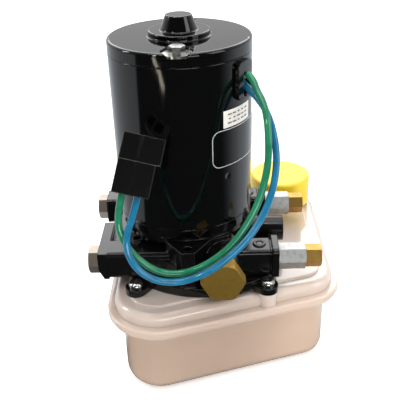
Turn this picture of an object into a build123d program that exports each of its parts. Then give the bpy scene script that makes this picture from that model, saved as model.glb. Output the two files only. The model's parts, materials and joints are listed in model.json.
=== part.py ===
from build123d import *
import os
from math import acos, cos, pi, radians, sin, sqrt, tan

# Power trim pump for a boat's drive: a permanent-magnet motor stands on a cast valve body,
# a gear pump hangs below it into a moulded oil reservoir, and a two-wire lead ends in a plug.
# Frame: +Z up along the motor shaft, origin on that axis at the reservoir's base.
# The wires and the relief cap are at the front (-Y), the line fittings on the right (+X).

os.makedirs("parts", exist_ok=True)

# Fits and clearances
fit_gap = 0.05          # radial running clearance of a shaft or a sliding valve
body_gap = 0.3          # gap between pieces that move past each other without a fit

# Reservoir
tank_left = -47.0       # left edge of the rim's flange
tank_right = 93.0       # right edge of the rim's flange
tank_front = -69.2      # front edge of the flange at x = 0
tank_rear = 66.0        # rear edge of the flange at x = 0
tank_slant = 0.319      # rise of the front and rear edges in y for each mm in x
tank_height = 61.6
tank_wall = 2.5
corner_radius = 24.0    # flange's corners in plan
front_left_radius = 30.0
rim_top_height = 9.0    # from the flange to the tank's top
rim_top_inset = 4.5
crown_height = 1.5      # raised middle of the top, inside the rounded step
crown_inset = 12.5
crown_round = 0.9
flange_thickness = 4.0
lip_height = 2.5        # small lip under the flange
lip_inset = 1.5
body_inset = 8.5        # tank wall stands this far inside the flange
rim_round = 4.0
flange_round = 1.2
base_round = 9.0
opening_radius = 43.0   # hole that the pump goes through
opening_x, opening_y = 3.0, 2.0
neck_x, neck_y = 65.0, 65.0
neck_radius = 17.0
neck_wall = 3.0
neck_height = 15.5
pillar_radius = 5.6     # screw pillars in the step, under the casting's ears
screw_depth = 7.0

# Filler cap
cap_radius = 20.7
cap_height = 19.8
cap_top = 3.0
cap_round = 1.6
cap_lift = 1.0          # cap's skirt above the tank's top
thread_gap = 0.4        # between the neck and the cap's skirt
gasket_thickness = 1.5

# Valve body
flange_height = 5.5     # base flange of the casting
flange_radius = 56.0
flange_x, flange_y = 11.4, 2.4
body_left, body_right = -47.0, 52.0
bore_y = 32.6           # the two valve bores run along X, this far from the shaft
bore_rise = 14.0        # axis of those bores above the reservoir's top
bore_radius = 6.0
bar_half = 8.5          # half the section of the square bar round a bore
bar_left, bar_right = -51.0, 49.2
rear_shift = -3.0       # the rear bar stands a little further left
collar_length = 5.0     # raised collar on a bar's right end, with the groove before it
collar_half = 9.7
collar_groove = 1.2
groove_depth = 0.8
bar_round = 2.5
bar_chamfer = 3.0
end_plate_length = 37.0
end_plate_thickness = 6.0
pedestal_radius = 32.0
seat_step = 1.4         # the round seat under the motor is this much smaller than the can
seat_thickness = 3.6
casting_height = 30.5   # from the reservoir's top to that seat
deck_rise = 3.0         # web that joins the two bars, above the bores' axes
deck_half = 30.0
cavity_radius = 13.0    # well for the coupling
cavity_rise = 10.0
cavity_hole_gap = 1.0   # round the pump's shaft where it passes the well's floor
coupling_radius = 9.0
coupling_gap = 2.4      # under the coupling
coupling_drop = 1.0     # its top below the motor's seat
ear_radius = 6.2
ear_height = 4.0
ear_root = 0.72         # share of the way out at which an ear's arm starts
ears = ((-29.0, -46.5), (47.2, -46.8), (-29.0, 46.2), (42.4, 49.0))
screw_radius = 2.3
screw_head = 4.2
screw_head_height = 3.2
screw_head_gap = 0.2    # round a head that stands near the casting
cross_length, cross_width, cross_depth = 4.4, 1.1, 1.5
seal_inner, seal_outer = 44.0, 46.2
seal_groove_depth = 1.5
lug_hole_radius = 2.5
lug_hole_depth = 14.0
lug_hole_x, lug_hole_y = 1.8, -46.8
lug_drop = 1.5          # lugs below the motor's seat
ledge_rise = 4.4
post_x, post_y = -28.3, -25.5
post_radius, post_hole, post_hole_depth = 3.9, 2.2, 5.0
post_rise = 9.9
centre_boss_radius = 8.0
centre_boss_end = 60.0
centre_boss_root = 4.0  # how far it starts inside the pedestal
centre_port_radius, centre_port_depth = 4.5, 14.0
relief_x = 21.3
relief_rise = 15.4
relief_block_half = 11.0
relief_setback = 3.1    # relief block's face behind the front of the base flange
relief_bore = 5.5
relief_bore_depth = 9.0
passage_radius = 2.1
passage_x = 43.2
passage_ring_radius, passage_ring_height = 3.6, 0.8
passage_web = 1.0       # from the bore to its plug
passage_plug_drop = 0.3

# Plugs and line fittings
plug_flats = 14.0
plug_head = 6.0
shank_length = 10.0
fitting_flats = 13.4
fitting_length = 15.0
fitting_bore = 2.0
nut_flats = 11.6
nut_length = 9.3
nut_bore = 2.6
corner_cut, corner_run = 0.05, 0.03     # hexagon's corners turned off, as shares of its flats
washer_thickness, washer_width = 1.0, 2.5
centre_plug_length = 8.0
socket_radius, socket_depth = 2.9, 4.0
relief_flats = 22.0
relief_head = 8.0
relief_head_bore = 5.0  # how far the cap's bore goes into its head
relief_cup = 3.9
relief_collar_radius = 9.4
relief_collar_length = 3.5
relief_shank = 4.0      # cap's thread inside the casting
relief_disc_radius, relief_disc = 4.6, 1.6
relief_pin_radius, relief_pin = 1.8, 5.5

# Valves
seat_offset = 27.0      # from the bore's middle to a seat's inner face
seat_length = 4.0
seat_hole = 2.4
poppet_length = 8.0
poppet_cup = 3.6
poppet_cup_depth = 5.0
poppet_nose = 2.0
nose_gap = 0.2
spool_land = 8.0
spool_hub, spool_hub_radius = 6.0, 3.5
spool_travel = 1.5
spool_stem = 1.6
spring_wire = 0.9
spring_radius = 2.8
spring_turns = 4

# Motor
can_radius = 40.0
can_wall = 3.0
plate_thickness = 6.5
plate_spigot = 3.0      # part of the lower plate inside the can
plate_round = 1.2
seam_round = 0.4        # edges where the can meets its two end pieces
cap_side = 7.15
cap_edge_round = 1.6
cap_wall = 3.5
shaft_radius = 4.0
shaft_drop = 12.0       # shaft's lower end below the motor's seat
shaft_hole_gap = 1.0
bush_radius = 6.5
bush_length = 14.0
bush_drop = 4.5         # bush's lower end below the end cap's seam
shaft_above_bush = 4.0
bearing_radius = 11.0
bearing_width = 7.0
race_wall, shield_recess = 2.0, 0.6
seal_radius = 9.0
seal_width = 2.5
bolt_inset = 4.0        # bolts inside the can's bore
bolt_radius = 2.5
bolt_reach = 8.0        # thread in the casting
bolt_flats = 7.5
bolt_flange_radius = 8.0
bolt_flange = 1.2
bolt_head = 3.6
notch_depth = 2.2
notch_gap = 0.4
magnet_thickness = 6.6
magnet_length = 60.0
magnet_arc = 126.0
magnet_rise = 8.0       # magnets above the lower plate
can_spare = 34.1        # can longer than its magnets, for the bearing and the brush gear
air_gap = 0.7
core_spare = 14.0       # magnets longer than the core
core_slots = 10
slot_width, slot_depth = 3.2, 9.0
winding_height = 8.0
winding_step = 1.5      # windings below the core's surface
winding_hub = 4.0       # end turns start this far from the shaft
commutator_radius = 12.0
commutator_length = 15.0
commutator_gap = 2.0
brush_width, brush_height, brush_length = 7.0, 8.0, 9.0
brush_plate_thickness = 3.0
brush_plate_gap = 2.0   # round the commutator
brush_spring_room = 7.0
holder_wall = 1.2

# Top boss of the motor's end cap
disc_radius, disc_height = 17.2, 2.9
nose_base, nose_top, nose_height = 10.4, 7.2, 8.0
boss_round = 0.8        # rounded edges and feet of the disc and the nose

# Wire outlet on the can
outlet_angle = 57.0     # from the front towards the right
outlet_width, outlet_height = 14.0, 21.0
outlet_proud = 2.5
outlet_round = 3.5
outlet_neck = 0.7       # share of its width and height that passes through the can
outlet_lip = 1.0        # how far it goes past the can's inner surface
outlet_drop = 12.2      # its middle below the end cap's seam
window_width, window_height = 8.5, 13.0
window_round = 2.0
window_step = 0.7       # middle of the window's floor outside the can's surface
wire_pitch = 6.6        # the two wires leave one above the other
wire_angle = 60.0       # middle of the window, from the front towards the right
wire_facing = 42.0      # way that the window's floor and the wires face
wire_dip = 30.0         # and how far downwards
wire_lead = 5.0         # straight stretch of a wire at the window

# Gear pump
gear_module = 1.5
gear_teeth = 12
gear_width = 14.0
pressure_angle = 25.0
backlash = 0.12
gear_clearance = 0.08   # gap round the gears in the pump housing
pump_depth = 24.0
pump_cover_thickness = 7.0
pump_half_x, pump_half_y = 26.0, 21.0
pump_corner = 6.0
pump_shaft_radius = 5.0
pump_bolt_radius = 2.5
pump_bolt_head = 4.2
pump_bolt_height = 3.5
pump_bolt_inset = 5.5
pump_bolt_reach = 6.0   # how far the pump's bolts go into the casting
pump_socket, pump_socket_depth = 2.4, 2.0
shaft_hole_depth = 5.0  # blind holes for the shafts in the cover and the housing
shaft_end_gap = 0.4
cover_chamfer = 1.0
filter_radius, filter_height = 8.0, 8.0
filter_floor = 2.0
inlet_radius = 4.5
inlet_y = 13.0          # suction hole, behind the gears' meeting line
port_y = 10.0           # pressure hole, in front of it
port_radius = 2.2
port_rise = 5.0

# Lead and its plug
wire_diameter = 3.8
plug_foot = (-26.5, -59.0, 131.8)
plug_tilt, plug_lean, plug_turn = 28.5, 13.5, 8.0
plug_width, plug_upper_width = 19.8, 22.2
plug_depth = 10.0
plug_lower, plug_upper = 17.8, 13.9
plug_pitch = 8.2
plug_cavity = 6.4
plug_floor = 4.0
terminal_size = 2.6
blue_route = (
    (40.3, -26.5, 172.9), (44.8, -30.8, 167.7), (47.9, -36.5, 161.4), (49.7, -42.8, 153.6),
    (50.4, -48.5, 144.1), (48.2, -55.5, 132.0), (42.4, -62.5, 119.3), (32.8, -68.5, 107.1),
    (18.0, -72.5, 94.8), (2.0, -73.6, 87.3), (-11.8, -73.8, 87.1), (-22.4, -73.8, 93.4),
    (-28.2, -73.0, 103.8), (-28.7, -69.5, 114.2),
)
green_route = (
    (40.5, -28.5, 176.9), (43.9, -35.0, 172.0), (45.4, -41.8, 165.5), (45.8, -47.6, 156.3),
    (45.7, -51.0, 144.9), (42.4, -56.5, 130.9), (36.3, -61.5, 117.7), (26.7, -65.5, 104.4),
    (13.3, -67.8, 94.0), (-0.8, -68.6, 88.4), (-13.5, -68.7, 90.0), (-23.7, -68.5, 98.4),
    (-31.0, -68.0, 109.8),
)

# Heights and radii worked out from the values above
flange_z = tank_height - rim_top_height - flange_thickness
lip_z = flange_z - lip_height
step_z = tank_height - crown_height
bore_z = tank_height + bore_rise
deck_top = bore_z + deck_rise
ledge_top = bore_z + ledge_rise
post_top = bore_z + post_rise
relief_z = tank_height + relief_rise
relief_face = flange_y - flange_radius + relief_setback
cavity_floor = tank_height + cavity_rise
body_top = tank_height + casting_height
lug_top = body_top - lug_drop
shaft_bottom = body_top - shaft_drop
seam_z = body_top + plate_thickness
cap_seam_z = seam_z + magnet_length + can_spare
cap_top_z = cap_seam_z + cap_side
outlet_z = cap_seam_z - outlet_drop
seat_radius = can_radius - seat_step
can_bore = can_radius - can_wall
bolt_circle = can_bore - bolt_inset
core_radius = can_bore - magnet_thickness - air_gap
core_length = magnet_length - core_spare
window_reach = can_radius + window_step
collar_end = bar_right + collar_length
pitch_radius = gear_module * gear_teeth / 2
tip_radius = pitch_radius + gear_module
gear_spacing = 2 * pitch_radius
gear_bottom = tank_height - pump_depth
cover_bottom = gear_bottom - pump_cover_thickness
pump_bolt_spots = [
    (gear_spacing / 2 + side_x * (pump_half_x - pump_bolt_inset), side_y * (pump_half_y - pump_bolt_inset))
    for side_x in (-1, 1)
    for side_y in (-1, 1)
]


def rim_outline(inset):
    """Outline of the reservoir in plan, moved inwards by inset."""
    run = sqrt(1 + tank_slant**2)
    left, right = tank_left + inset, tank_right - inset
    front, rear = tank_front + inset * run, tank_rear - inset * run
    first = (left, front + tank_slant * left)
    with BuildSketch() as outline:
        with BuildLine():
            Polyline(
                first,
                (right, front + tank_slant * right),
                (right, rear + tank_slant * right),
                (left, rear + tank_slant * left),
                close=True,
            )
        make_face()
        front_left = outline.vertices().sort_by_distance(Vector(*first))[0]
        fillet(front_left, max(front_left_radius - inset, 3))
        corners = outline.vertices().sort_by_distance(Vector(*first))[2:]
        fillet(corners, max(corner_radius - inset, 3))
    return outline.sketch


def rod(start, direction, length, radius, mode=Mode.ADD):
    """Cylinder from a start point along a direction, in the part being built."""
    with Locations(Plane(start, z_dir=direction)):
        Cylinder(radius, length, align=(Align.CENTER, Align.CENTER, Align.MIN), mode=mode)


def ring(bottom, height, outer, inner, x=0.0, y=0.0):
    """Ring or washer standing on bottom, round an upright axis."""
    with BuildPart() as body:
        rod((x, y, bottom), (0, 0, 1), height, outer)
        rod((x, y, bottom), (0, 0, 1), height, inner, mode=Mode.SUBTRACT)
    return body.part


def square_bar(half, start, end, y):
    """Square bar along X with rounded long edges, centred on a bore."""
    with BuildPart() as bar:
        with BuildSketch(Plane.YZ.offset(start)):
            with Locations((y, bore_z)):
                RectangleRounded(2 * half, 2 * half, bar_round)
        extrude(amount=end - start)
    return bar.part


def hex_head(flats, length, both_ends=False):
    """Hexagonal head along +Z from z = 0, its end corners turned off."""
    corner = flats / sqrt(3)
    with BuildPart() as blank:
        Cylinder(corner, length, align=(Align.CENTER, Align.CENTER, Align.MIN))
        for end in (-1, 0) if both_ends else (-1,):
            face = blank.faces().filter_by(GeomType.PLANE).sort_by(Axis.Z)[end]
            chamfer(face.edges(), corner_cut * flats, corner_run * flats, reference=face)
    with BuildPart() as head:
        with BuildSketch():
            RegularPolygon(corner, 6)
        extrude(amount=length)
        add(blank.part, mode=Mode.INTERSECT)
    return head.part


def coil_spring(length):
    """Square-wire compression spring along +Z from z = 0."""
    height = length - spring_wire
    with BuildPart() as spring:
        with BuildLine() as path:
            Helix(height / spring_turns, height, spring_radius, center=(0, 0, spring_wire / 2))
        with BuildSketch(Plane(path.line @ 0, x_dir=(1, 0, 0), z_dir=path.line % 0)):
            Rectangle(spring_wire, spring_wire)
        sweep(is_frenet=True)
    return spring.part


def polar(radius, angle):
    """Point in plan at an angle from the front (-Y) towards the right (+X)."""
    return (radius * sin(radians(angle)), -radius * cos(radians(angle)))


# Reservoir: stepped rim, hollow body, pump opening and filler neck in one moulding
with BuildPart() as oil_space:
    with BuildSketch(Plane.XY.offset(tank_wall)):
        add(rim_outline(body_inset + tank_wall))
    extrude(amount=flange_z - tank_wall)
    fillet(oil_space.faces().sort_by(Axis.Z)[0].edges(), base_round - tank_wall)
    with BuildSketch(Plane.XY.offset(flange_z)):
        add(rim_outline(rim_top_inset + tank_wall))
    extrude(amount=step_z - tank_wall - flange_z)
    with BuildSketch(Plane.XY.offset(flange_z)):
        add(rim_outline(crown_inset + tank_wall))
    extrude(amount=tank_height - tank_wall - flange_z)
    with Locations((opening_x, opening_y, tank_height - 2 * tank_wall)):
        Cylinder(opening_radius, 4 * tank_wall, align=(Align.CENTER, Align.CENTER, Align.MIN))
    with Locations((neck_x, neck_y, tank_height - 2 * tank_wall)):
        Cylinder(
            neck_radius - neck_wall,
            neck_height + 3 * tank_wall,
            align=(Align.CENTER, Align.CENTER, Align.MIN),
        )

with BuildPart() as reservoir:
    with BuildSketch():
        add(rim_outline(body_inset))
    extrude(amount=lip_z)
    fillet(reservoir.faces().sort_by(Axis.Z)[0].edges(), base_round)
    with BuildSketch(Plane.XY.offset(lip_z)):
        add(rim_outline(lip_inset))
    extrude(amount=lip_height)
    with BuildSketch(Plane.XY.offset(flange_z)):
        add(rim_outline(0))
    extrude(amount=flange_thickness)
    fillet(reservoir.faces().sort_by(Axis.Z)[-1].edges(), flange_round)
    with BuildSketch(Plane.XY.offset(flange_z + flange_thickness)):
        add(rim_outline(rim_top_inset))
    extrude(amount=rim_top_height - crown_height)
    fillet(reservoir.faces().sort_by(Axis.Z)[-1].edges(), rim_round)
    with BuildSketch(Plane.XY.offset(step_z)):
        add(rim_outline(crown_inset))
    extrude(amount=crown_height)
    fillet(reservoir.faces().sort_by(Axis.Z)[-1].edges(), crown_round)
    with Locations((neck_x, neck_y, tank_height - tank_wall)):
        Cylinder(neck_radius, neck_height + tank_wall, align=(Align.CENTER, Align.CENTER, Align.MIN))
    add(oil_space.part, mode=Mode.SUBTRACT)
    for x, y in ears:
        with Locations((x, y, tank_height - rim_top_height)):
            Cylinder(pillar_radius, rim_top_height, align=(Align.CENTER, Align.CENTER, Align.MIN))
        with Locations((x, y, tank_height - screw_depth)):
            Cylinder(
                screw_radius, screw_depth, align=(Align.CENTER, Align.CENTER, Align.MIN), mode=Mode.SUBTRACT
            )
reservoir.part.label = "reservoir"
export_step(reservoir.part, "parts/reservoir.step")
print("reservoir", reservoir.part.volume, len(reservoir.part.solids()))


# Valve body: one aluminium casting with flange, pedestal, two bored bars, lugs and relief block
def front_end_block():
    """Squared left end of the front bar, its lower outer edge cut off."""
    low, high = bore_z - bar_half, bore_z + bar_half
    inner = bar_left + end_plate_thickness
    with BuildPart() as block:
        with BuildSketch(Plane.XZ.offset(bore_y + bar_half)):
            with BuildLine():
                Polyline(
                    (bar_left, low + 2 * bar_chamfer),
                    (bar_left + bar_chamfer, low),
                    (inner, low),
                    (inner, high),
                    (bar_left, high),
                    close=True,
                )
            make_face()
        extrude(amount=-end_plate_length)
    return block.part


lug_outline = (
    (-11.0, -30.0), (-11.0, -38.0), (-1.7, -51.8), (5.6, -51.8), (14.5, -37.7), (25.0, -33.0), (25.0, -26.0)
)
ledge_outline = ((-21.4, -28.0), (-21.4, -38.4), (-7.6, -45.6), (-2.0, -49.0), (4.0, -28.0))

with BuildPart() as valve_body:
    with BuildSketch(Plane.XY.offset(tank_height)):
        with Locations((flange_x, flange_y)):
            Circle(flange_radius)
        with Locations(((body_left + body_right) / 2, flange_y)):
            Rectangle(body_right - body_left, 3 * flange_radius, mode=Mode.INTERSECT)
    extrude(amount=flange_height)
    with BuildSketch(Plane.XY.offset(tank_height)):
        for x, y in ears:
            middle = (1 + ear_root) / 2
            SlotCenterPoint((middle * x, middle * y), (x, y), 2 * ear_radius)
    extrude(amount=ear_height)
    rod((0, 0, tank_height), (0, 0, 1), body_top - tank_height, pedestal_radius)
    rod((0, 0, body_top - seat_thickness), (0, 0, 1), seat_thickness, seat_radius)
    with BuildSketch(Plane.XY.offset(tank_height)):
        with Locations((body_left / 2, 0)):
            Rectangle(-body_left, 2 * deck_half)
    extrude(amount=deck_top - tank_height)
    for side, shift, cut in ((-1, 0.0, bar_chamfer), (1, rear_shift, 0.0)):
        right = bar_right + shift
        add(square_bar(bar_half, bar_left + shift + cut, right, side * bore_y))
        add(square_bar(bar_half - groove_depth, right, right + collar_groove, side * bore_y))
        add(square_bar(collar_half, right + collar_groove, right + collar_length, side * bore_y))
        ring_foot = (passage_x + shift, side * bore_y, bore_z + bar_half - bar_round)
        rod(ring_foot, (0, 0, 1), bar_round + passage_ring_height, passage_ring_radius)
    add(front_end_block())
    with BuildSketch(Plane.XZ.offset(-relief_face)):
        with Locations((relief_x, relief_z)):
            Circle(relief_block_half)
        with Locations((relief_x, (relief_z + tank_height) / 2)):
            Rectangle(2 * relief_block_half, relief_z - tank_height)
    extrude(amount=relief_face + bore_y - bar_half)
    for side in (1, -1):
        with BuildSketch(Plane.XY.offset(tank_height)):
            with BuildLine():
                Polyline(*[(x, side * y) for x, y in lug_outline], close=True)
            make_face()
        extrude(amount=lug_top - tank_height)
        with BuildSketch(Plane.XY.offset(tank_height)):
            with BuildLine():
                Polyline(*[(x, side * y) for x, y in ledge_outline], close=True)
            make_face()
        extrude(amount=ledge_top - tank_height)
    rod((post_x, post_y, tank_height), (0, 0, 1), post_top - tank_height, post_radius)
    boss_start = pedestal_radius - centre_boss_root
    rod((boss_start, 0, bore_z), (1, 0, 0), centre_boss_end - boss_start, centre_boss_radius)
    # Cavities and drillings
    rod((0, 0, cavity_floor), (0, 0, 1), body_top, cavity_radius, mode=Mode.SUBTRACT)
    rod((0, 0, tank_height), (0, 0, 1), body_top, pump_shaft_radius + cavity_hole_gap, mode=Mode.SUBTRACT)
    for side, shift in ((-1, 0.0), (1, rear_shift)):
        start = (bar_left + shift, side * bore_y, bore_z)
        rod(start, (1, 0, 0), collar_end - bar_left, bore_radius, mode=Mode.SUBTRACT)
        top = (passage_x + shift, side * bore_y, bore_z)
        rod(top, (0, 0, 1), 2 * bar_half, passage_radius, mode=Mode.SUBTRACT)
        lug_hole = (lug_hole_x, side * -lug_hole_y, lug_top - lug_hole_depth)
        rod(lug_hole, (0, 0, 1), 2 * lug_hole_depth, lug_hole_radius, mode=Mode.SUBTRACT)
        bolt_hole = (0, side * bolt_circle, body_top - bolt_reach)
        rod(bolt_hole, (0, 0, 1), 2 * bolt_reach, bolt_radius, mode=Mode.SUBTRACT)
    rod((relief_x, relief_face, relief_z), (0, 1, 0), relief_bore_depth, relief_bore, mode=Mode.SUBTRACT)
    rod((relief_x, relief_face, relief_z), (0, 1, 0), -bore_y - relief_face, seat_hole, mode=Mode.SUBTRACT)
    post_hole_floor = (post_x, post_y, post_top - post_hole_depth)
    rod(post_hole_floor, (0, 0, 1), 2 * post_hole_depth, post_hole, mode=Mode.SUBTRACT)
    centre_port = (centre_boss_end, 0, bore_z)
    rod(centre_port, (-1, 0, 0), centre_port_depth, centre_port_radius, mode=Mode.SUBTRACT)
    for x, y in ears:
        rod((x, y, tank_height), (0, 0, 1), 2 * ear_height, screw_radius, mode=Mode.SUBTRACT)
        seat = (x, y, tank_height + ear_height)
        rod(seat, (0, 0, 1), screw_head_height, screw_head + screw_head_gap, mode=Mode.SUBTRACT)
    for x, y in pump_bolt_spots:
        rod((x, y, tank_height), (0, 0, 1), pump_bolt_reach, pump_bolt_radius, mode=Mode.SUBTRACT)
    port = (gear_spacing / 2, -port_y)
    rod((*port, tank_height), (0, 0, 1), port_rise, port_radius, mode=Mode.SUBTRACT)
    port_run = (0, port_y - bore_y, bore_z - tank_height - port_rise)
    rod((*port, tank_height + port_rise), port_run, bore_y - port_y, port_radius, mode=Mode.SUBTRACT)
    seal_groove = ring(tank_height, seal_groove_depth, seal_outer, seal_inner, opening_x, opening_y)
    add(seal_groove, mode=Mode.SUBTRACT)
valve_body.part.label = "valve_body"
export_step(valve_body.part, "parts/valve_body.step")
print("valve_body", valve_body.part.volume, len(valve_body.part.solids()))


# Plugs in the left ends, line fittings with tube nuts in the right ends
bars = ((-1, 0.0), (1, rear_shift))
with BuildPart() as end_plugs:
    for side, shift in bars:
        left = bar_left + shift
        rod((left, side * bore_y, bore_z), (1, 0, 0), shank_length, bore_radius)
        with Locations(Plane((left, side * bore_y, bore_z), x_dir=(0, 1, 0), z_dir=(-1, 0, 0))):
            add(hex_head(plug_flats, plug_head))
end_plugs.part.label = "end_plugs"
export_step(end_plugs.part, "parts/end_plugs.step")

with BuildPart() as fitting_washers:
    for side, shift in bars:
        face = collar_end + shift
        rod((face, side * bore_y, bore_z), (1, 0, 0), washer_thickness, bore_radius + washer_width)
        rod((face, side * bore_y, bore_z), (1, 0, 0), washer_thickness, bore_radius, mode=Mode.SUBTRACT)
fitting_washers.part.label = "fitting_washers"
export_step(fitting_washers.part, "parts/fitting_washers.step")

with BuildPart() as line_fittings:
    for side, shift in bars:
        foot = collar_end + shift - shank_length
        shank = shank_length + washer_thickness
        rod((foot, side * bore_y, bore_z), (1, 0, 0), shank, bore_radius)
        with Locations(Plane((foot + shank, side * bore_y, bore_z), x_dir=(0, 1, 0), z_dir=(1, 0, 0))):
            add(hex_head(fitting_flats, fitting_length, both_ends=True))
        rod((foot, side * bore_y, bore_z), (1, 0, 0), shank + fitting_length, fitting_bore, mode=Mode.SUBTRACT)
line_fittings.part.label = "line_fittings"
export_step(line_fittings.part, "parts/line_fittings.step")

with BuildPart() as line_nuts:
    for side, shift in bars:
        face = collar_end + washer_thickness + fitting_length + shift
        with Locations(Plane((face, side * bore_y, bore_z), x_dir=(0, 1, 0), z_dir=(1, 0, 0))):
            add(hex_head(nut_flats, nut_length, both_ends=True))
        rod((face, side * bore_y, bore_z), (1, 0, 0), nut_length, nut_bore, mode=Mode.SUBTRACT)
line_nuts.part.label = "line_nuts"
export_step(line_nuts.part, "parts/line_nuts.step")

with BuildPart() as passage_plugs:
    for side, shift in bars:
        base = bore_z + bore_radius + passage_web
        top = bore_z + bar_half + passage_ring_height - passage_plug_drop
        rod((passage_x + shift, side * bore_y, base), (0, 0, 1), top - base, passage_radius)
passage_plugs.part.label = "passage_plugs"
export_step(passage_plugs.part, "parts/passage_plugs.step")

with BuildPart() as port_plug:
    rod(centre_port, (-1, 0, 0), centre_plug_length, centre_port_radius)
    with BuildSketch(Plane(centre_port, x_dir=(0, 1, 0), z_dir=(-1, 0, 0))):
        RegularPolygon(socket_radius, 6)
    extrude(amount=socket_depth, mode=Mode.SUBTRACT)
port_plug.part.label = "port_plug"
export_step(port_plug.part, "parts/port_plug.step")

# Relief valve at the front: collar, hollow hexagonal cap, poppet and spring
relief_hex_face = relief_face - relief_collar_length
with BuildPart() as relief_collar:
    rod((relief_x, relief_face, relief_z), (0, -1, 0), relief_collar_length, relief_collar_radius)
    rod((relief_x, relief_face, relief_z), (0, -1, 0), relief_collar_length, relief_bore, mode=Mode.SUBTRACT)
relief_collar.part.label = "relief_collar"
export_step(relief_collar.part, "parts/relief_collar.step")

with BuildPart() as relief_cap:
    with Locations(Plane((relief_x, relief_hex_face, relief_z), x_dir=(1, 0, 0), z_dir=(0, -1, 0))):
        add(hex_head(relief_flats, relief_head))
    shank = relief_collar_length + relief_shank
    rod((relief_x, relief_hex_face, relief_z), (0, 1, 0), shank, relief_bore)
    cup_floor = (relief_x, relief_hex_face - relief_head_bore, relief_z)
    rod(cup_floor, (0, 1, 0), relief_head_bore + shank, relief_cup, mode=Mode.SUBTRACT)
relief_cap.part.label = "relief_cap"
export_step(relief_cap.part, "parts/relief_cap.step")

relief_floor = relief_face + relief_bore_depth
with BuildPart() as relief_poppet:
    rod((relief_x, relief_floor, relief_z), (0, -1, 0), relief_disc, relief_disc_radius)
    rod((relief_x, relief_floor, relief_z), (0, -1, 0), relief_pin, relief_pin_radius)
relief_poppet.part.label = "relief_poppet"
export_step(relief_poppet.part, "parts/relief_poppet.step")

relief_spring_foot = relief_floor - relief_disc
relief_spring_length = relief_spring_foot - relief_hex_face + relief_head_bore
with BuildPart() as relief_spring:
    with Locations(Plane((relief_x, relief_spring_foot, relief_z), x_dir=(1, 0, 0), z_dir=(0, -1, 0))):
        add(coil_spring(relief_spring_length))
relief_spring.part.label = "relief_spring"
export_step(relief_spring.part, "parts/relief_spring.step")

# Valves inside the two bores: front, a shuttle spool between two check poppets;
# rear, two line relief poppets
bore_middle = (bar_left + collar_end) / 2
slide_radius = bore_radius - fit_gap
shank_face = (collar_end - bar_left) / 2 - shank_length


def valve_seat(y, shift, side):
    """Seat ring pressed into a bore."""
    middle = bore_middle + shift
    with BuildPart() as seat:
        start = (middle + side * seat_offset, y, bore_z)
        rod(start, (side, 0, 0), seat_length, bore_radius)
        rod(start, (side, 0, 0), seat_length, seat_hole, mode=Mode.SUBTRACT)
    return seat.part


def valve_poppet(y, shift, side):
    """Cup-shaped poppet resting on its seat, its nose entering the seat's hole."""
    start = bore_middle + shift + side * (seat_offset + seat_length)
    with BuildPart() as poppet:
        rod((start, y, bore_z), (side, 0, 0), poppet_length, slide_radius)
        rod((start, y, bore_z), (-side, 0, 0), poppet_nose, seat_hole - nose_gap)
        cup_start = (start + side * (poppet_length - poppet_cup_depth), y, bore_z)
        rod(cup_start, (side, 0, 0), poppet_cup_depth, poppet_cup, mode=Mode.SUBTRACT)
    return poppet.part


def valve_spring(y, shift, side):
    """Spring from the poppet's cup to the plug or fitting behind it."""
    start = bore_middle + shift + side * (seat_offset + seat_length + poppet_length - poppet_cup_depth)
    length = shank_face - seat_offset - seat_length - poppet_length + poppet_cup_depth
    with BuildPart() as spring:
        with Locations(Plane((start, y, bore_z), x_dir=(0, 1, 0), z_dir=(side, 0, 0))):
            add(coil_spring(length))
    return spring.part


with BuildPart() as check_seats:
    for side in (-1, 1):
        add(valve_seat(-bore_y, 0.0, side))
check_seats.part.label = "check_seats"
export_step(check_seats.part, "parts/check_seats.step")

with BuildPart() as relief_seats:
    for side in (-1, 1):
        add(valve_seat(bore_y, rear_shift, side))
relief_seats.part.label = "relief_seats"
export_step(relief_seats.part, "parts/relief_seats.step")

for kind, y, shift in (("check", -bore_y, 0.0), ("line_relief", bore_y, rear_shift)):
    for word, side in (("left", -1), ("right", 1)):
        poppet = valve_poppet(y, shift, side)
        poppet.label = f"{kind}_poppet_{word}"
        export_step(poppet, f"parts/{kind}_poppet_{word}.step")
        spring = valve_spring(y, shift, side)
        spring.label = f"{kind}_spring_{word}"
        export_step(spring, f"parts/{kind}_spring_{word}.step")

with BuildPart() as shuttle_spool:
    stem_half = seat_offset + seat_length - poppet_nose - spool_travel - body_gap
    rod((bore_middle - stem_half, -bore_y, bore_z), (1, 0, 0), 2 * stem_half, spool_stem)
    for side in (-1, 1):
        rod((bore_middle + side * spool_hub / 2, -bore_y, bore_z), (side, 0, 0), spool_land, slide_radius)
    rod((bore_middle - spool_hub / 2, -bore_y, bore_z), (1, 0, 0), spool_hub, spool_hub_radius)
shuttle_spool.part.label = "shuttle_spool"
export_step(shuttle_spool.part, "parts/shuttle_spool.step")


# Motor: lower end plate with bearing and seal
bearing_z = body_top + seal_width
with BuildPart() as drive_end_plate:
    rod((0, 0, body_top), (0, 0, 1), plate_thickness, can_radius)
    fillet(drive_end_plate.edges().filter_by(GeomType.CIRCLE).sort_by(Axis.Z)[0], plate_round)
    fillet(drive_end_plate.edges().filter_by(GeomType.CIRCLE).sort_by(Axis.Z)[-1], seam_round)
    rod((0, 0, seam_z), (0, 0, 1), plate_spigot, can_bore)
    plate_height = plate_thickness + plate_spigot
    rod((0, 0, body_top), (0, 0, 1), plate_height, shaft_radius + shaft_hole_gap, mode=Mode.SUBTRACT)
    rod((0, 0, body_top), (0, 0, 1), seal_width, seal_radius, mode=Mode.SUBTRACT)
    rod((0, 0, bearing_z), (0, 0, 1), plate_height, bearing_radius, mode=Mode.SUBTRACT)
    for side in (-1, 1):
        rod((0, side * bolt_circle, body_top), (0, 0, 1), plate_height, bolt_radius, mode=Mode.SUBTRACT)
drive_end_plate.part.label = "drive_end_plate"
export_step(drive_end_plate.part, "parts/drive_end_plate.step")

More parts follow.
